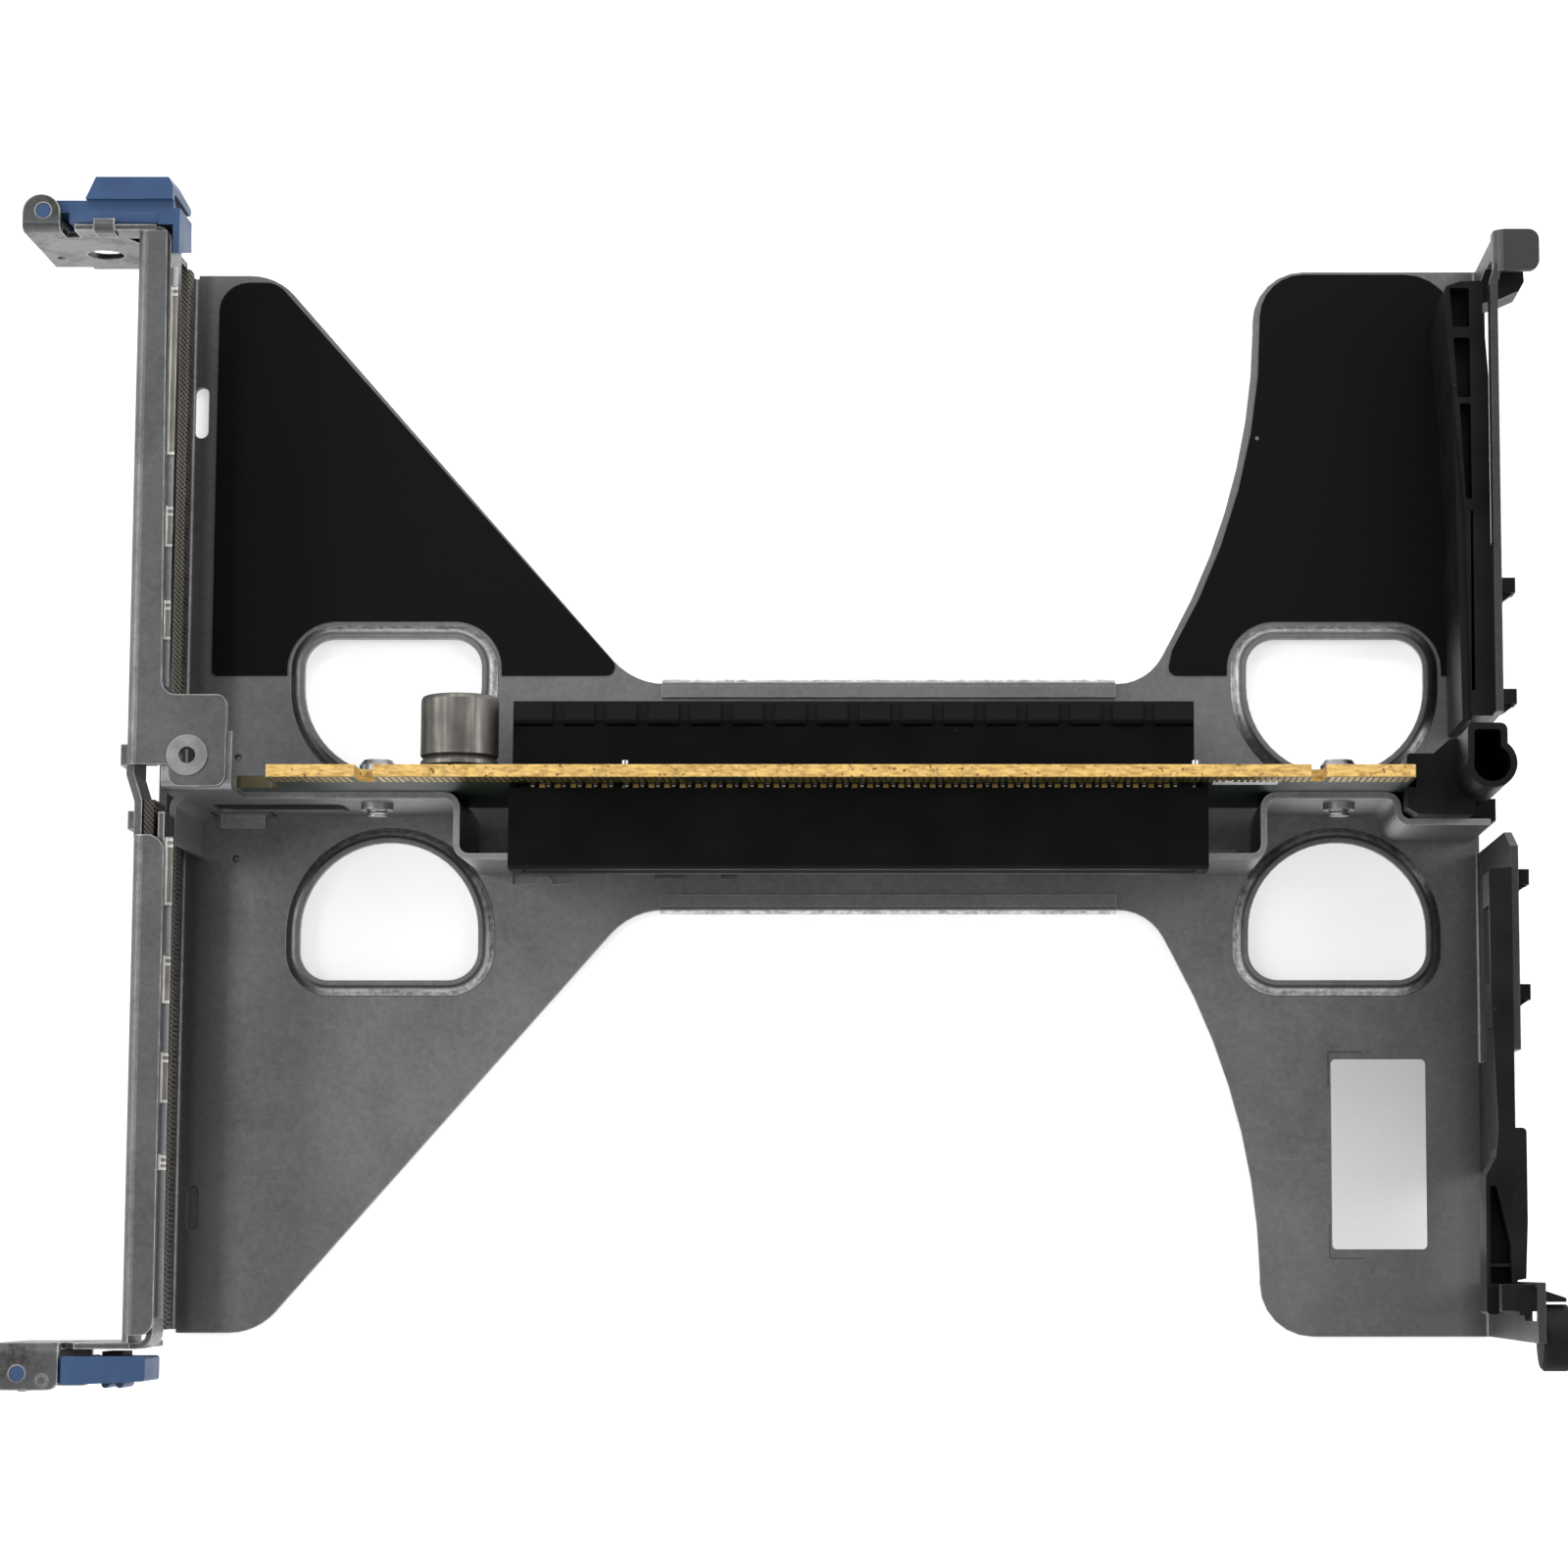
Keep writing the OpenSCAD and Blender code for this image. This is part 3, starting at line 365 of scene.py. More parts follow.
def galvanised_steel(name, pale=1.0, turn=0.0, roughness=0.42, wear=0.5, soot=0.3, rim=0.5, rim_mm=0.25):
    """pale scales the zinc's shade, turn is the way its scratches run, wear their share, soot the share of
    brown smudges, rim how bright the worn edges with their painted highlight are and rim_mm how wide."""
    material, tree, shader = open_material(name, Metallic=1.0)
    grain = place_group(tree, zinc_grain, Crystal_mm=0.9)
    crystals = product(tree, grain["Crystals"], 0.16)
    mottle = product(tree, grain["Mottle"], 0.34)
    clouds = product(tree, grain["Clouds"], 0.5)
    shade = calc(tree, "ADD", calc(tree, "ADD", crystals, mottle), clouds)
    high = shade_of(zinc_pale, pale)
    colour = mix(tree, shade, shade_of(zinc_dark, pale), high)
    scratched = place_group(tree, scratches, Turn=turn, Amount=wear)["Mask"]
    colour = mix(tree, scratched, colour, shade_of(high, 1.5))
    dirty = place_group(tree, smudges, Patch_mm=7.0, Amount=soot)["Mask"]
    colour = mix(tree, dirty, colour, grime_and_crease_shade_brown)
    specks = place_group(tree, dust, Spacing_mm=9.0, Share=0.12)["Mask"]
    colour = mix(tree, product(tree, specks, 0.6), colour, grey(0.04))
    # Worn edges with a painted highlight: a pale line along every edge.
    edges = place_group(tree, edge_wear_and_painted_highlight, Width_mm=rim_mm, Amount=rim)["Mask"]
    colour = mix(tree, edges, colour, wear_and_highlight_bright)
    tree.links.new(colour, shader.inputs["Base Color"])
    gloss = remap(tree, shade, 0.0, 1.0, roughness + 0.08, roughness - 0.05)
    fill(tree, shader.inputs["Roughness"], calc(tree, "ADD", gloss, product(tree, dirty, 0.2)))
    add_bump(tree, shader, calc(tree, "SUBTRACT", grain["Mottle"], scratched), 0.012, 0.35)
    return material


plate_steel = galvanised_steel("galvanised_plate", soot=0.12)
frame_steel = galvanised_steel("galvanised_channel", 0.58, math.pi / 2, wear=0.9, rim=0.9, rim_mm=0.3)
# The wall's zinc is set 1.6 times paler: painted light on its faces that lie in shade.
wall_steel_with_painted_light = galvanised_steel("galvanised_wall_painted_light", 1.6, wear=0.4, soot=0.15, rim=0.8)
strip_steel = galvanised_steel("galvanised_strip", 1.6, wear=0.4, soot=0.15, rim=0.1)
bracket_steel = galvanised_steel("galvanised_bracket", 0.54, roughness=0.34, wear=0.8, soot=0.7, rim=1.0,
                                 rim_mm=0.4)
steels = (plate_steel, frame_steel, wall_steel_with_painted_light, strip_steel, bracket_steel)
print("made", [steel.name for steel in steels])

# %% [markdown]
# Painted shade darkens the plate's upstands, the strip along the card guides and the strip behind the
# channel.
# All three zones are read from the place on the piece. The rolled lips of the grip holes are the opposite:
# paler in streaks, a painted highlight with worn streaks, and a painted shade in the crease at their foot.
# The tilt of the surface finds them, away from the ends of the plate and from its cut edges, which stand
# fully upright.

# %% Painted shade zones and painted highlight on the lips of the plate
# Pale zinc of the rolled lips: worn, with a painted highlight.
lip_wear_and_highlight_zinc = (0.78, 0.79, 0.78, 1)


def paint_light_and_wear_on_plate():
    tree = plate_steel.node_tree
    base = tree.nodes["Principled BSDF"].inputs["Base Color"]
    tilt = calc(tree, "SUBTRACT", 1.0, facing_along(tree, "Z"))
    inland = product(tree, ramp_along(tree, "X", -72, -68), ramp_along(tree, "X", 83, 80))
    low = product(tree, ramp_along(tree, "Z", 3.4, 2.6), inland)
    streaks = noise(tree, on_piece(tree), 900.0, 5.0, 0.7)
    rounded = product(tree, remap(tree, tilt, 0.10, 0.32), remap(tree, tilt, 0.97, 0.8))
    # Paler streaks on the tilted faces of the lips: painted highlight with worn streaks.
    lip_wear_and_highlight = product(tree, rounded, remap(tree, streaks, 0.36, 0.6, 0.1, 0.9), low)
    # Darker band in the crease at the foot of the lips: painted shade.
    crease_shade = product(tree, remap(tree, tilt, 0.004, 0.03), remap(tree, tilt, 0.14, 0.06), low, 0.75)
    colour = mix(tree, lip_wear_and_highlight, base.links[0].from_socket, lip_wear_and_highlight_zinc)
    colour = mix(tree, crease_shade, colour, grime_and_crease_shade_brown)
    # Painted shade: the upstands, the strip along the card guides and the strip behind the channel are
    # darkened.
    colour = darken(tree, colour, ramp_along(tree, "Z", 3, 5), 0.55)
    colour = darken(tree, colour, ramp_along(tree, "X", 84.5, 87.6), 0.6)
    colour = darken(tree, colour, ramp_along(tree, "X", -84.5, -85.6), 0.62)
    tree.links.new(colour, base)


paint_light_and_wear_on_plate()

# %% [markdown]
# ## Bright spring steel and plated parts
# The contact fingers and clips, the guide bushing and the screws are nickel plated or stainless: smoother and
# paler than the zinc. The capacitor's can, the gold and the solder differ only in colour, gloss and the way
# their fine lines run. The finger steel is near white and only partly metallic, so that it stays pale in
# shade:
# a painted highlight that stands in for the glints of the fingers and the clips' bars.

# %% Bright metals
def bright_metal(name, colour, roughness, line_scale, rim=0.6, metallic=1.0):
    """line_scale stretches the fine lines: a large number across them and a small one along them. rim is
    how bright the worn edges with their painted highlight are."""
    material, tree, shader = open_material(name, Metallic=metallic)
    lines = noise(tree, stretched(tree, line_scale), 1.0, 3.0)
    blotch = noise(tree, on_piece(tree), 300.0, 2.0)
    mark = product(tree, lines, blotch)
    tone = mix(tree, remap(tree, mark, 0.15, 0.4), shade_of(colour, 0.62), shade_of(colour, 1.0))
    # Worn edges with a painted highlight: a pale line along every edge.
    edges = place_group(tree, edge_wear_and_painted_highlight, Width_mm=0.12, Amount=rim)["Mask"]
    tone = mix(tree, edges, tone, (0.86, 0.85, 0.82, 1))
    tree.links.new(tone, shader.inputs["Base Color"])
    gloss = remap(tree, lines, 0.3, 0.7, roughness + 0.1, roughness - 0.05)
    tree.links.new(gloss, shader.inputs["Roughness"])
    add_bump(tree, shader, lines, 0.006, 0.3)
    return material


# Near white and partly metallic: a painted highlight for the glints of the fingers.
spring_steel_painted_glint = bright_metal("spring_steel_painted_glint", (0.95, 0.93, 0.87), 0.34, (900, 60, 900), metallic=0.35)
clip_steel = bright_metal("clip_steel", (0.42, 0.40, 0.36), 0.38, (900, 60, 900), metallic=0.8)
plated_steel = bright_metal("plated_steel", (0.40, 0.40, 0.40), 0.30, (500, 500, 500), rim=1.0)
can_aluminium = bright_metal("can_aluminium", (0.205, 0.193, 0.178), 0.46, (1400, 90, 1400), rim=0.25)
contact_gold = bright_metal("contact_gold", (0.80, 0.56, 0.20), 0.30, (700, 700, 150), rim=0.0)
tin_solder = bright_metal("tin_solder", (0.60, 0.58, 0.52), 0.30, (400, 400, 400), rim=0.0)

# %% [markdown]
# ## Plastics
# Black parts are glass-filled nylon with a dry pebble surface. The slot housings are a smoother
# liquid-crystal plastic, and the latches are blue acetal, the colour that marks a part to be touched. They
# differ in colour, pebble size and gloss, so one function serves all of them.

# %% Moulded plastics
def moulded_plastic(name, colour, roughness, pebble_mm, rub, specular=0.5, rim=0.5):
    """rub is how much paler the handled patches are, and rim how pale the worn corners with their painted
    highlight.
    """
    material, tree, shader = open_material(name, Specular_IOR_Level=specular)
    grain = place_group(tree, moulded_grain, Pebble_mm=pebble_mm)
    paler = tuple(min(1.0, c * (1 + rub) + 0.004 * rub) for c in colour) + (1,)
    tone = mix(tree, grain["Patches"], tuple(colour) + (1,), paler)
    specks = place_group(tree, dust, Spacing_mm=2.2, Share=0.1)["Mask"]
    tone = mix(tree, product(tree, specks, 0.3), tone, grey(0.2))
    # Worn corners with a painted highlight: a paler line along every edge.
    edges = place_group(tree, edge_wear_and_painted_highlight, Width_mm=0.2, Amount=rim)["Mask"]
    tone = mix(tree, edges, tone, tuple(c * 1.9 + 0.010 for c in colour) + (1,))
    tree.links.new(tone, shader.inputs["Base Color"])
    gloss = remap(tree, grain["Patches"], 0, 1, roughness + 0.06, roughness - 0.04)
    tree.links.new(gloss, shader.inputs["Roughness"])
    add_bump(tree, shader, grain["Height"], 0.02, 0.35)
    return material


black_nylon = moulded_plastic("black_nylon", (0.0035, 0.0035, 0.0035), 0.40, 0.16, 0.9, 0.13)
blue_acetal = moulded_plastic("blue_acetal", (0.032, 0.064, 0.138), 0.42, 0.3, 0.3, 0.2, 0.8)
rubber = moulded_plastic("black_rubber", (0.006, 0.006, 0.006), 0.65, 0.25, 0.6, 0.15)

# %% [markdown]
# ## Slot housings
# The housings are near-black and even. The face of each keying pad catches more light than the body, so the
# colour lifts a little past the pads' inner line, measured from the solid's own box.

# %% Housing plastic
def housing_plastic(name, pad_line, side):
    """pad_line is the Y where the pads begin, and side is +1 or -1, the way that they face."""
    material = moulded_plastic(name, (0.0022, 0.0022, 0.0024), 0.42, 0.12, 0.4, 0.06)
    tree = material.node_tree
    shader = tree.nodes["Principled BSDF"]
    outward = product(tree, place_along(tree, "Y"), float(side))
    past = remap(tree, outward, side * pad_line - 0.1 * mm, side * pad_line + 0.1 * mm)
    body = shader.inputs["Base Color"].links[0].from_socket
    tree.links.new(mix(tree, past, body, (0.0115, 0.0115, 0.0135, 1)), shader.inputs["Base Color"])
    return material


pad_depth = 2.5 * mm
upper_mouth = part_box("upper_slot_housing")[1].y
lower_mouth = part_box("lower_slot_housing")[0].y
upper_housing_plastic = housing_plastic("upper_housing_plastic", upper_mouth - pad_depth, 1)
lower_housing_plastic = housing_plastic("lower_housing_plastic", lower_mouth, -1)

# %% [markdown]
# ## Insulating film
# Two black polycarbonate films keep cards from touching the steel. They are flat and satin, about as dark as
# the slot housings, with white dust specks that cling to them.

# %% Black film
def black_film():
    material, tree, shader = open_material("black_film", Specular_IOR_Level=0.1)
    fine = noise(tree, on_piece(tree), 2500.0, 2.0)
    tone = mix(tree, fine, grey(0.0026), grey(0.0050))
    small = place_group(tree, dust, Spacing_mm=1.6, Share=0.06)["Mask"]
    large = place_group(tree, dust, Spacing_mm=6.5, Share=0.12)["Mask"]
    specks = calc(tree, "MAXIMUM", product(tree, small, 0.2), product(tree, large, 0.5))
    tree.links.new(mix(tree, specks, tone, grey(0.4)), shader.inputs["Base Color"])
    fill(tree, shader.inputs["Roughness"], remap(tree, fine, 0.3, 0.7, 0.44, 0.36))
    add_bump(tree, shader, fine, 0.004, 0.3)
    return material


film = black_film()

# %% [markdown]
# ## Circuit board
# The board's faces carry dark green mask over copper, and its cut edges show the bare ochre laminate with
# glass layers. The surface direction tells edge from face, so one material serves the whole board.

# %% Board material
def board_laminate():
    material, tree, shader = open_material("board_laminate", Roughness=0.38, Specular_IOR_Level=0.4)
    on_face = calc(tree, "GREATER_THAN", facing_along(tree, "Y"), 0.5)
    layers = add(tree, "ShaderNodeTexWave", {"Vector": on_piece(tree), "Scale": 1250.0, "Distortion": 0.6,
                                              "Detail": 2.0}, bands_direction="Y")
    flecks = noise(tree, stretched(tree, (900, 2500, 900)), 1.0)
    ochre = mix(tree, remap(tree, flecks, 0.3, 0.65), (0.30, 0.165, 0.035, 1), (0.74, 0.48, 0.14, 1))
    ochre = mix(tree, product(tree, layers.outputs[1], 0.25), ochre, (0.86, 0.62, 0.25, 1))
    pits = noise(tree, stretched(tree, (1500, 1500, 1500)), 1.0)
    ochre = mix(tree, remap(tree, pits, 0.62, 0.7, 0.0, 0.8), ochre, (0.06, 0.032, 0.010, 1))
    # Below 28.5 mm the cut edge turns dark brown.
    ochre = mix(tree, ramp_along(tree, "Z", 29.5, 28.5), ochre, (0.075, 0.060, 0.028, 1))
    traces = add(tree, "ShaderNodeTexWave", {"Vector": on_piece(tree), "Scale": 420.0,
                                              "Distortion": 1.5, "Detail": 1.0}, bands_direction="X")
    line = remap(tree, traces.outputs[1], 0.55, 0.7)
    mask = mix(tree, line, (0.004, 0.011, 0.006, 1), (0.008, 0.024, 0.011, 1))
    tree.links.new(mix(tree, on_face, ochre, mask), shader.inputs["Base Color"])
    add_bump(tree, shader, product(tree, line, on_face), 0.02, 0.5)
    return material


laminate = board_laminate()

# %% [markdown]
# ## Gasket cloth and label paper
# The gaskets are foam wrapped in plated cloth: grey-brown, half metallic, with the twill showing as light
# dots. The label is coated white paper, left blank.

# %% Cloth and paper
def gasket_cloth():
    material, tree, shader = open_material("gasket_cloth", Metallic=0.5, Roughness=0.5)
    height = place_group(tree, weave, Yarn_mm=0.44)["Height"]
    worn = noise(tree, on_piece(tree), 90.0, 3.0)
    yarn = mix(tree, worn, (0.045, 0.039, 0.031, 1), (0.185, 0.168, 0.138, 1))
    tone = mix(tree, remap(tree, height, 0.5, 0.95), (0.012, 0.010, 0.008, 1), yarn)
    tree.links.new(tone, shader.inputs["Base Color"])
    add_bump(tree, shader, height, 0.06, 0.8)
    return material


def label_paper():
    material, tree, shader = open_material("label_paper", Roughness=0.42, Specular_IOR_Level=0.4)
    fibre = noise(tree, on_piece(tree), 1800.0, 3.0)
    tree.links.new(mix(tree, fibre, grey(0.74), (0.82, 0.82, 0.83, 1)), shader.inputs["Base Color"])
    add_bump(tree, shader, fibre, 0.01, 0.25)
    return material


cloth = gasket_cloth()
paper = label_paper()

# %% [markdown]
# ## Dressing the solids
# Each solid keeps its shape and takes its finish in its own material slots.

# %% Give every solid its finish
finishes = {
    plate_steel: ["cage_plate"],
    frame_steel: ["rear_frame"],
    wall_steel_with_painted_light: ["carrier_wall"],
    bracket_steel: ["upper_latch_bracket", "lower_latch_bracket"],
    plated_steel: ["guide_bushing", "board_screws", "board_pegs"],
    spring_steel_painted_glint: ["upper_ground_fingers", "lower_ground_fingers"],
    blue_acetal: ["upper_latch", "lower_latch"],
    black_nylon: ["board_end_holder", "upper_card_guide", "lower_card_guide", "capacitor_base"],
    rubber: ["latch_pad", "lug_bumper"],
    cloth: ["upper_gasket", "lower_gasket", "upper_channel_gasket", "lower_channel_gasket"],
    laminate: ["riser_board"],
    upper_housing_plastic: ["upper_slot_housing"],
    lower_housing_plastic: ["lower_slot_housing"],
    contact_gold: ["upper_slot_contacts", "lower_slot_contacts"],
    can_aluminium: ["capacitor_can"],
    film: ["left_film", "right_film"],
    paper: ["blank_label"],
}


def dress(node, material):
    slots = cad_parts[node].material_slots
    for place in slots:
        place.material = material
    if not slots:
        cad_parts[node].data.materials.append(material)


for material, nodes in finishes.items():
    for node in nodes:
        dress(node, material)
undressed = set(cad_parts) - {node for nodes in finishes.values() for node in nodes}
print("solids without a finish:", sorted(undressed))

# %% [markdown]
# ## Making a piece
# Small trim is made as meshes. Every piece is built in place, so its object stays at the origin, and it rides
# on one of the part's bodies.

# %% Piece helpers
def at(*millimetres):
    """A point given in millimetres."""
    return Vector([value * mm for value in millimetres])


def add_block(bm, low, high):
    """A block between two corners, given in metres."""
    low, high = Vector(low), Vector(high)
    place = Matrix.Translation((low + high) / 2) @ Matrix.Diagonal((*(high - low), 1))
    bmesh.ops.create_cube(bm, size=1, matrix=place)


def add_cone(bm, centre, radius, tip, depth, sides):
    """A short cone along Y, middle at centre; tip is the radius at its far end."""
    place = Matrix.Translation(centre) @ Matrix.Rotation(-math.pi / 2, 4, "X")
    bmesh.ops.create_cone(bm, cap_ends=True, segments=sides, radius1=radius, radius2=tip, depth=depth,
                          matrix=place)


def soften(bm, width, segments=2, edges=None):
    """Rounds sharp edges."""
    sharp = edges or [e for e in bm.edges if len(e.link_faces) == 2 and e.calc_face_angle(0) > 0.6]
    bmesh.ops.bevel(bm, geom=sharp, offset=width, offset_type="OFFSET", segments=segments, profile=0.5,
                    affect="EDGES", material=-1, clamp_overlap=True)


def make_piece(bm, name, material, body="cage", smooth=True):
    bmesh.ops.recalc_face_normals(bm, faces=bm.faces)
    for face in bm.faces:
        face.smooth = smooth
    mesh = bpy.data.meshes.new(name)
    bm.to_mesh(mesh)
    bm.free()
    mesh.materials.append(material)
    if smooth:
        mesh.set_sharp_from_angle(angle=math.radians(40))
    piece = bpy.data.objects.new(name, mesh)
    bpy.context.scene.collection.objects.link(piece)
    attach(piece, body)
    print(f"{name}: {len(mesh.polygons)} faces on {body}")
    return piece


# %% [markdown]
# ## Cloth gaskets
# A gasket is a foam strip in a cloth sleeve, held along the upstand. A block the size of the solid is cut
# across its length, rounded, and pushed in a little at uneven intervals, as soft foam sits under its clips.

# %% Gasket strips
gasket_steps = 60


def gasket(node, dent_mm, round_mm, slim_mm=0.0):
    """slim_mm is how much narrower the cloth is than the solid, on its right side."""
    low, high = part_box(node)
    high.x -= slim_mm * mm
    bm = bmesh.new()
    add_block(bm, low, high)
    along = [e for e in bm.edges if abs((e.verts[0].co - e.verts[1].co).normalized().y) > 0.9]
    soften(bm, round_mm * mm, 3, along)
    for step in range(1, gasket_steps):
        y = low.y + (high.y - low.y) * step / gasket_steps
        everything = bm.verts[:] + bm.edges[:] + bm.faces[:]
        bmesh.ops.bisect_plane(bm, geom=everything, plane_co=(0, y, 0), plane_no=(0, 1, 0), dist=1e-7)
    middle = (low + high) / 2
    for v in bm.verts:
        wave = 0.5 + 0.5 * math.sin(v.co.y / (3.1 * mm)) * math.sin(v.co.y / (7.7 * mm) + 1)
        v.co.x += (middle.x - v.co.x) / (high.x - low.x) * 2 * wave * dent_mm * mm
        v.co.z += (low.z - v.co.z) / (high.z - low.z) * wave * dent_mm * mm
    strip = make_piece(bm, node + "_cloth", cloth)
    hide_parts(node)


gasket("upper_gasket", 0.12, 0.6, 0.3)
gasket("lower_gasket", 0.12, 0.6, 0.3)
gasket("upper_channel_gasket", 0.1, 0.3)
gasket("lower_channel_gasket", 0.1, 0.3)

# %% [markdown]
# ## Finger strips
# Along the channel's open side lies a strip that earths the card brackets. Its edge is folded over the
# sheet, and at each finger a bright clip grips it: a thin body with a raised bar along its left side and
# three short bars across it. Thin blocks with softened edges show all of them.

# %% Finger strips
fold_z = 31.3
fold_top = fold_z + 0.3
body_thick = 0.18
bar_wide = 0.35
clips = {
    "upper": (-84.6, -83.45, (10.6, 65.6), [(16.7, 21.85), (28.75, 34.1), (40.8, 63.0)]),
    "lower": (-83.6, -82.45, (-69.6, -8.7), [(-17.5, -8.8), (-30.0, -23.9), (-42.6, -36.2), (-51.1, -49.1)]),
}


def finger_strip(side, left, right, span, places):
    """left, right and the ends of the span and of each clip's place are in millimetres."""
    strip, bodies, bars = bmesh.new(), bmesh.new(), bmesh.new()
    bar_foot = fold_top + body_thick - 0.01
    add_block(strip, at(left, span[0], fold_z), at(right, span[1], fold_top))
    for start, end in places:
        add_block(bodies, at(left, start, fold_top), at(right + 0.06, end, fold_top + body_thick))
        add_block(bars, at(left + 0.2, start, bar_foot), at(left + 0.2 + bar_wide, end, fold_top + 0.4))
        for bar in (start, end - 0.5, end - 1.3):
            add_block(bars, at(left + 0.4, bar, bar_foot), at(right + 0.1, bar + bar_wide, fold_top + 0.36))
    soften(strip, 0.08 * mm)
    soften(bodies, 0.05 * mm, 1)
    soften(bars, 0.04 * mm, 1)
    make_piece(strip, side + "_folded_edge", strip_steel)
    make_piece(bodies, side + "_clip_bodies", clip_steel)
    # The bars take the near-white finger steel, a painted highlight for their glints.
    make_piece(bars, side + "_clips", spring_steel_painted_glint)


for side, (left, right, span, places) in clips.items():
    finger_strip(side, left, right, span, places)

# %% [markdown]
# ## Rib of the upper latch
# The upper latch's arm is stiffened by a rib on the side of the shelf, and only its top edge shows above the
# shelf. A softened bar that rides with the arm is enough, a little lower than the stop that hooks over it.

# %% Latch rib
def latch_rib():
    bm = bmesh.new()
    add_block(bm, at(-97.6, 71.15, 27), at(-86, 72.7, 32.6))
    soften(bm, 0.25 * mm)
    return make_piece(bm, "latch_rib", blue_acetal, "upper_latch_arm")


latch_rib()

# %% [markdown]
# ## Painted shade web and stop of the lower guide
# A thin black block fills the narrow gap beside the plate's upstand as painted shade, and a flat stop fills
# the corner between the guide's slanted end and the lug.

# %% Guide shade web and stop
def guide_shade_web_and_stop():
    bm = bmesh.new()
    # Painted shade: a thin black block in the dark gap beside the upstand.
    add_block(bm, at(87.6, -50.8, 1.5), at(88.5, -36.2, 13))
    add_block(bm, at(84.6, -68.75, 43.2), at(89.5, -65.4, 45.4))
    soften(bm, 0.15 * mm)
    return make_piece(bm, "guide_shade_web_and_stop", black_nylon)


guide_shade_web_and_stop()

# %% [markdown]
# ## Black sheet and painted slit shadow in the wall
# Through the long slot at the wall's left end only black shows, and a dark slit frames the small tongue
# below it. A thin black sheet in the wall's own thickness fills the slot, and four thin dark bars paint the
# shadow in the slit.

# %% Slot sheet and painted slit shadow
wall_mid = -2.32
wall_face = -2.72
slit = 0.35


def slot_sheet_and_painted_slit():
    bm = bmesh.new()
    add_block(bm, at(-80.9, wall_mid - 0.12, 7.1), at(-63.6, wall_mid + 0.2, 15.4))
    # Four thin dark bars just proud of the wall's face: painted shadow in the slit round the tongue.
    left, right, foot, top = -82.7, -74.4, 1.3, 6
    proud, sunk = wall_face - 0.03, wall_face + 0.01
    for z in (foot, top):
        add_block(bm, at(left, proud, z), at(right, sunk, z + slit))
    for x in (left, right - slit):
        add_block(bm, at(x, proud, foot), at(x + slit, sunk, top))
    return make_piece(bm, "slot_sheet_and_painted_slit", film, smooth=False)


slot_sheet_and_painted_slit()

# %% [markdown]
# ## Gold fingers
# The riser plugs into its socket by this edge. Each finger is a thin plated pad on the face of the board,
# and the row stops at the two keying notches and at one bare stretch.

# %% Edge fingers
board_low, board_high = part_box("riser_board")
finger_pitch = 0.8 * mm
finger_wide = 0.52 * mm
finger_long = 5.6 * mm
plating = 0.035 * mm
finger_rows = [(-69.2, -58.9), (-55.4, -17.2), (-8.8, 61.8), (64.9, 75.2)]


def edge_fingers():
    bm = bmesh.new()
    for first, last in finger_rows:
        count = int((last - first) * mm / finger_pitch)
        for i in range(count + 1):
            x = first * mm + i * finger_pitch
            short = 1.2 * mm if i % 9 == 4 else 0
            top = board_high.z - 0.45 * mm
            foot = board_high.z - finger_long + short
            for face in (board_low.y - plating, board_high.y):
                add_block(bm, (x, face, foot), (x + finger_wide, face + plating, top))
    return make_piece(bm, "edge_fingers", contact_gold, smooth=False)


edge_fingers()

# %% [markdown]
# ## Solder tails
# The lower slot stands off the board on rows of tinned tails. Each tail is a short flat leg, and the solder
# climbs it in a small cone.

# %% Solder tails
slot_low, slot_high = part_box("lower_slot_housing")
tail_pitch = 2 * mm


def solder_tails():
    bm = bmesh.new()
    count = int((slot_high.x - slot_low.x - 6 * mm) / tail_pitch)
    for i in range(count + 1):
        x = slot_low.x + 3 * mm + i * tail_pitch
        for z in (slot_high.z - 0.9 * mm, slot_low.z + 0.9 * mm):
            add_block(bm, (x - 0.2 * mm, slot_high.y - 0.5 * mm, z - 0.15 * mm),
                      (x + 0.2 * mm, board_low.y + 0.02 * mm, z + 0.15 * mm))
            add_cone(bm, (x, board_low.y - 0.16 * mm, z), 0.2 * mm, 0.42 * mm, 0.32 * mm, 8)
    return make_piece(bm, "solder_tails", tin_solder, smooth=False)


solder_tails()

# %% [markdown]
# ## Small parts on the board
# Between the slots and the edge fingers each data pair passes through a small ceramic capacitor. A body with
# two tinned ends is enough at this size. Two rows fill the band above the upper slot, and one row lies on
# the board's other face.

# %% Ceramic capacitors
ceramic = moulded_plastic("ceramic_body", (0.23, 0.16, 0.10), 0.45, 0.3, 0.2)
chip_pitch = 2.4


def chip_row(bodies, ends, y, out, z, xs):
    """Rows of chips on the face at y, standing out by `out` (signed)."""
    for x in xs:
        near, far = sorted((y, y + out))
        add_block(bodies, (x - 0.25 * mm, near, z - 0.3 * mm), (x + 0.25 * mm, far, z + 0.3 * mm))
        for side in (-1, 1):
            edge = sorted((z + side * 0.28 * mm, z + side * 0.5 * mm))
            cap = far + (0.01 * mm if out > 0 else 0)
            add_block(ends, (x - 0.27 * mm, near, edge[0]), (x + 0.27 * mm, cap, edge[1]))


def coupling_capacitors():
    bodies, ends = bmesh.new(), bmesh.new()
    upper = [(-36 + chip_pitch * i) * mm for i in range(34)]
    chip_row(bodies, ends, board_high.y, 0.5 * mm, 29.5 * mm, upper)
    chip_row(bodies, ends, board_high.y, 0.5 * mm, 27.6 * mm, upper[::2])
    chip_row(bodies, ends, board_low.y, -0.5 * mm, 23 * mm, upper[::2])
    make_piece(bodies, "coupling_capacitors", ceramic, smooth=False)
    make_piece(ends, "capacitor_ends", tin_solder, smooth=False)


coupling_capacitors()

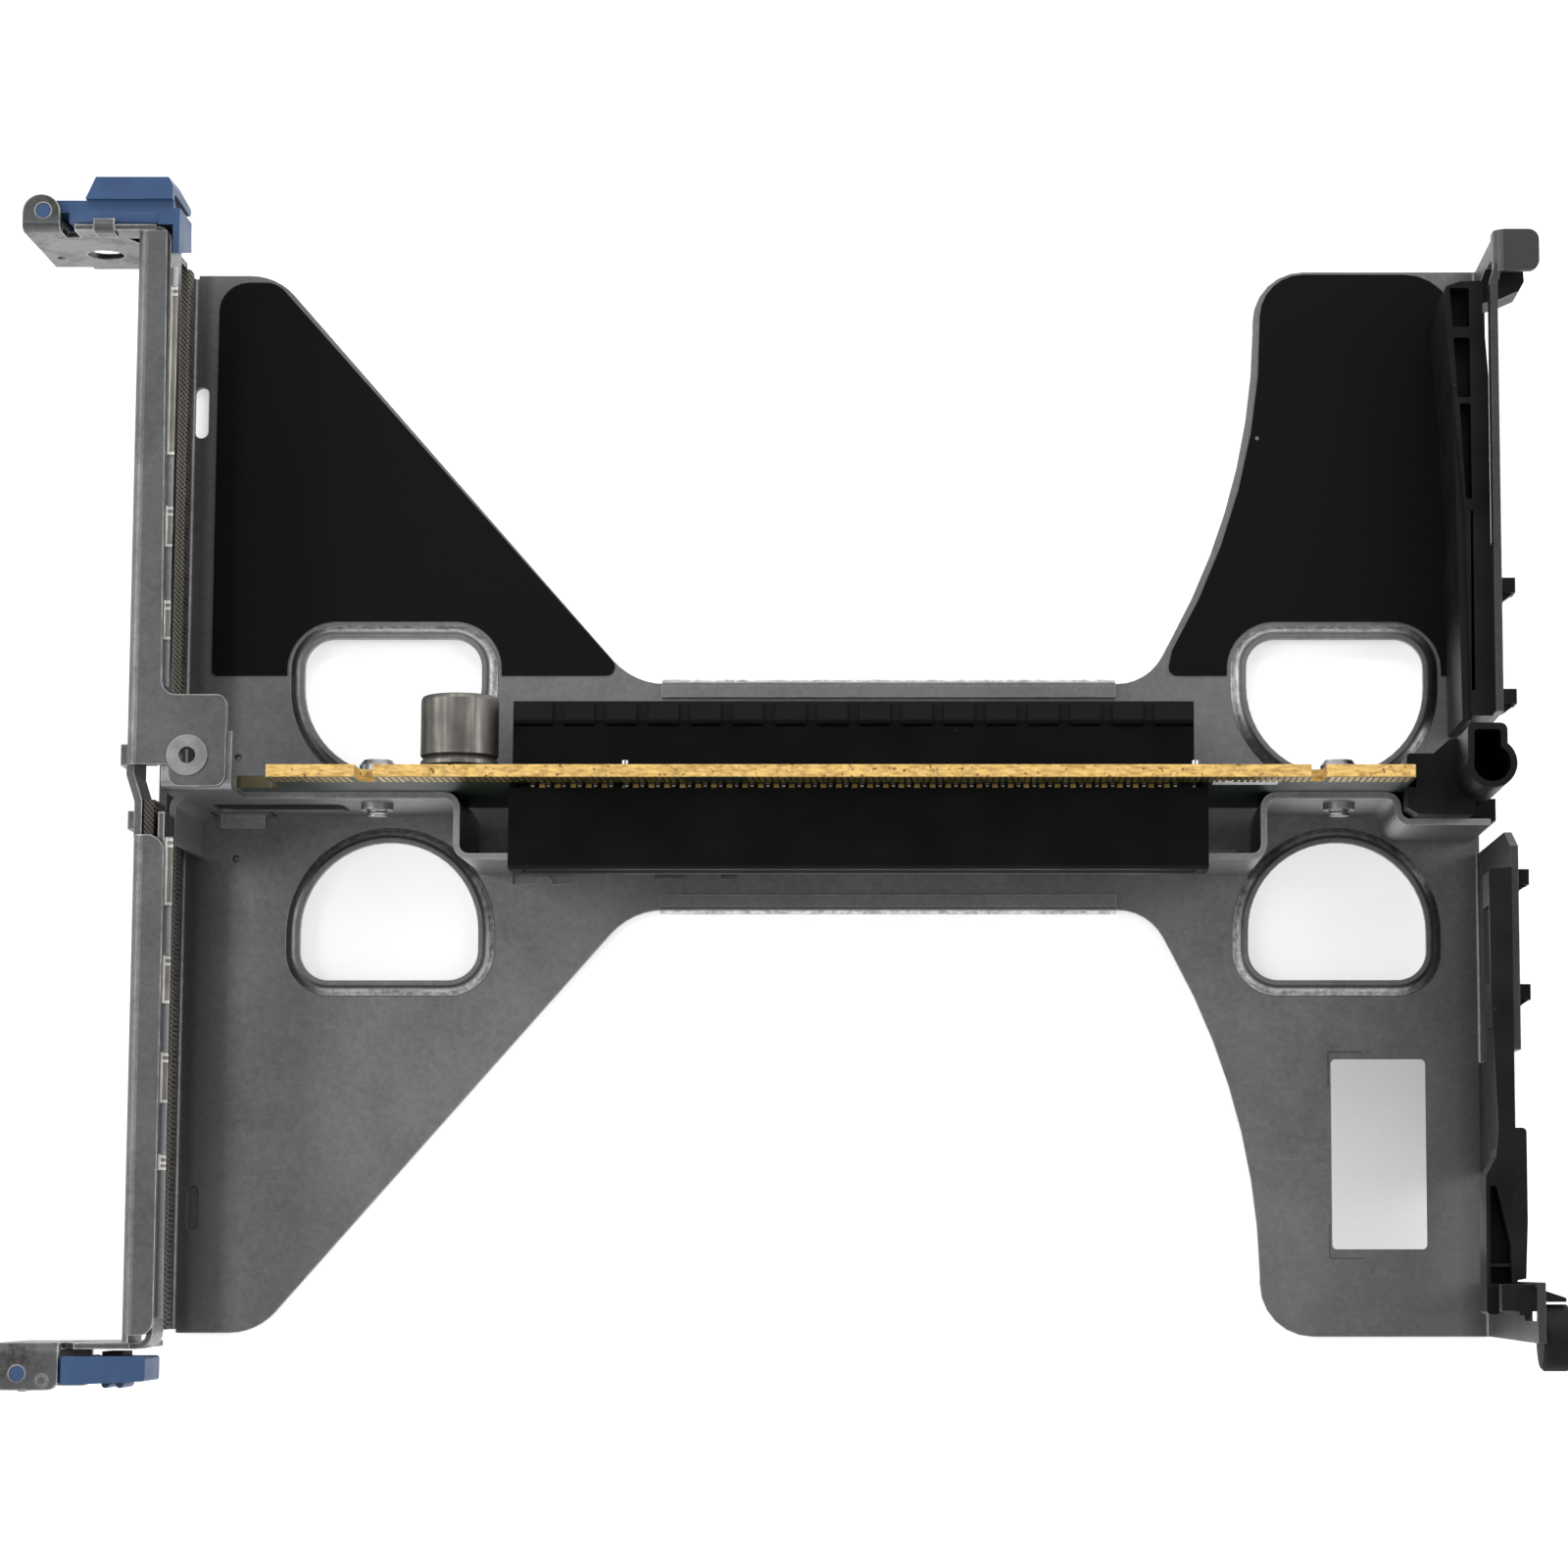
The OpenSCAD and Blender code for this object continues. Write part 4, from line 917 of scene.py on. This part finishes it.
# %% [markdown]
# ## Printed band and label marks
# A white printed bar marks the board near its right end. On the plate, two shallow L-shaped marks show where
# the label goes. Both are thin strips, a few hundredths of a millimetre proud.

# %% Thin marks
print_ink = open_material("print_ink", Roughness=0.6)[0]
mark_tone = open_material("stamped_mark", Roughness=0.6, Metallic=0.6)[0]


def tint(material, dark, light, scale):
    """Gives a plain material a slight uneven tone."""
    tree = material.node_tree
    uneven = noise(tree, on_piece(tree), scale, 3.0)
    tree.links.new(mix(tree, uneven, dark, light), tree.nodes["Principled BSDF"].inputs["Base Color"])


tint(print_ink, grey(0.55), grey(0.82), 900.0)
tint(mark_tone, grey(0.03), grey(0.11), 1500.0)


def printed_bar():
    bm = bmesh.new()
    add_block(bm, (50.3 * mm, board_low.y - 0.03 * mm, 31 * mm), (58.6 * mm, board_low.y, 36 * mm))
    return make_piece(bm, "printed_bar", print_ink, smooth=False)


def label_marks():
    bm = bmesh.new()
    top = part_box("blank_label")[0].z
    wide, long, thick = 0.14 * mm, 4.6 * mm, 0.012 * mm
    for corner_x, corner_y, down in ((67.35, -34.6, -1), (67.35, -62.2, 1)):
        x, y = corner_x * mm, corner_y * mm
        add_block(bm, (x, y - wide / 2, top), (x + long, y + wide / 2, top + thick))
        ends = sorted((y, y + down * long))
        add_block(bm, (x - wide / 2, ends[0], top), (x + wide / 2, ends[1], top + thick))
    return make_piece(bm, "label_marks", mark_tone, smooth=False)


printed_bar()
label_marks()

# %% [markdown]
# ## Screw threads
# Each board screw shows its end behind the wall. The thread is drawn as close-set rings: at this size the
# eye can't tell them from a helix, and a ring is a clean closed shape.

# %% Thread ends
def thread_ends():
    low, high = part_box("board_screws")
    bm = bmesh.new()
    pitch = 0.5 * mm
    centres = (low.x + 2.7 * mm, high.x - 2.7 * mm)
    root, crest = 1.22 * mm, 1.42 * mm
    z = (low.z + high.z) / 2
    for x in centres:
        for i in range(3):
            y = low.y + (0.35 + i) * pitch
            add_cone(bm, (x, y, z), root, crest, pitch / 2, 24)
            add_cone(bm, (x, y + pitch / 2, z), crest, root, pitch / 2, 24)
    return make_piece(bm, "thread_ends", plated_steel)


thread_ends()

# %% [markdown]
# ## Floor, light and camera
# The part lies on a white table under a large soft ceiling. The sky is pale round the horizon and dimmer
# overhead, so flat steel reads mid grey while its bends catch light. Two long lamps at the sides and one
# behind add soft highlights.

# %% Sky
def build_sky():
    world = bpy.data.worlds.new("studio")
    bpy.context.scene.world = world
    world.use_nodes = True
    tree = world.node_tree
    direction = add(tree, "ShaderNodeTexCoord").outputs["Generated"]
    up = add(tree, "ShaderNodeSeparateXYZ", {"Vector": direction}).outputs["Z"]
    overhead = remap(tree, up, 0.25, 0.75)
    background = tree.nodes["Background"]
    tree.links.new(mix(tree, overhead, grey(1.25), grey(0.52)), background.inputs["Color"])


build_sky()

# %% Lamps
def add_lamp(name, place, aim, size, power):
    data = bpy.data.lights.new(name, "AREA")
    data.shape = "RECTANGLE"
    data.size, data.size_y = size
    data.energy = power
    lamp = bpy.data.objects.new(name, data)
    bpy.context.scene.collection.objects.link(lamp)
    lamp.location = place
    lamp.rotation_mode = "QUATERNION"
    lamp.rotation_quaternion = (Vector(aim) - Vector(place)).to_track_quat("-Z", "Y")
    return lamp


add_lamp("left_lamp", (-0.75, 0.1, 0.65), (0, 0, 0), (0.3, 0.9), 4.0)
add_lamp("right_lamp", (0.8, 0.15, 0.6), (0, 0, 0), (0.3, 0.9), 3.25)
add_lamp("back_lamp", (0.0, 0.85, 0.7), (0, 0, 0), (0.9, 0.3), 3.75)

# %% Floor
def build_floor():
    bm = bmesh.new()
    level = Matrix.Translation((0, 0, cad_low.z - 0.1 * mm))
    bmesh.ops.create_grid(bm, x_segments=1, y_segments=1, size=3, matrix=level)
    mesh = bpy.data.meshes.new("floor")
    bm.to_mesh(mesh)
    bm.free()
    floor = bpy.data.objects.new("floor", mesh)
    bpy.context.scene.collection.objects.link(floor)
    material, tree, shader = open_material("white_floor", Base_Color=grey(0.8), Roughness=0.9,
                                           Specular_IOR_Level=0.0)
    path = add(tree, "ShaderNodeLightPath").outputs
    seen = calc(tree, "MAXIMUM", calc(tree, "MAXIMUM", path["Is Camera Ray"], path["Is Glossy Ray"]),
                path["Is Transmission Ray"])
    shader.inputs["Emission Color"].default_value = grey(1.0)
    tree.links.new(product(tree, seen, 0.5), shader.inputs["Emission Strength"])
    mesh.materials.append(material)


build_floor()

# %% [markdown]
# The camera looks almost straight down from half a metre. It leans 6.5 degrees towards the front, so that the
# walls show their faces, and a lens shift places the part in the frame without turning the plate.

# %% Camera
lean = math.radians(-6.54)
roll = math.radians(0.23)
camera_place = (20.95 * mm, -63.0 * mm, 547.1 * mm)


def build_camera():
    data = bpy.data.cameras.new("camera")
    data.sensor_width = 36
    data.lens = 93.16
    data.shift_x = -0.1373
    data.shift_y = 0.0098
    data.clip_start = 0.01
    data.clip_end = 20
    camera = bpy.data.objects.new("camera", data)
    bpy.context.scene.collection.objects.link(camera)
    turn = Matrix.Rotation(roll, 4, "Y") @ Matrix.Rotation(lean, 4, "X")
    camera.matrix_world = Matrix.Translation(camera_place) @ turn.inverted()
    bpy.context.scene.camera = camera


build_camera()
bpy.context.scene.view_settings.view_transform = "Standard"
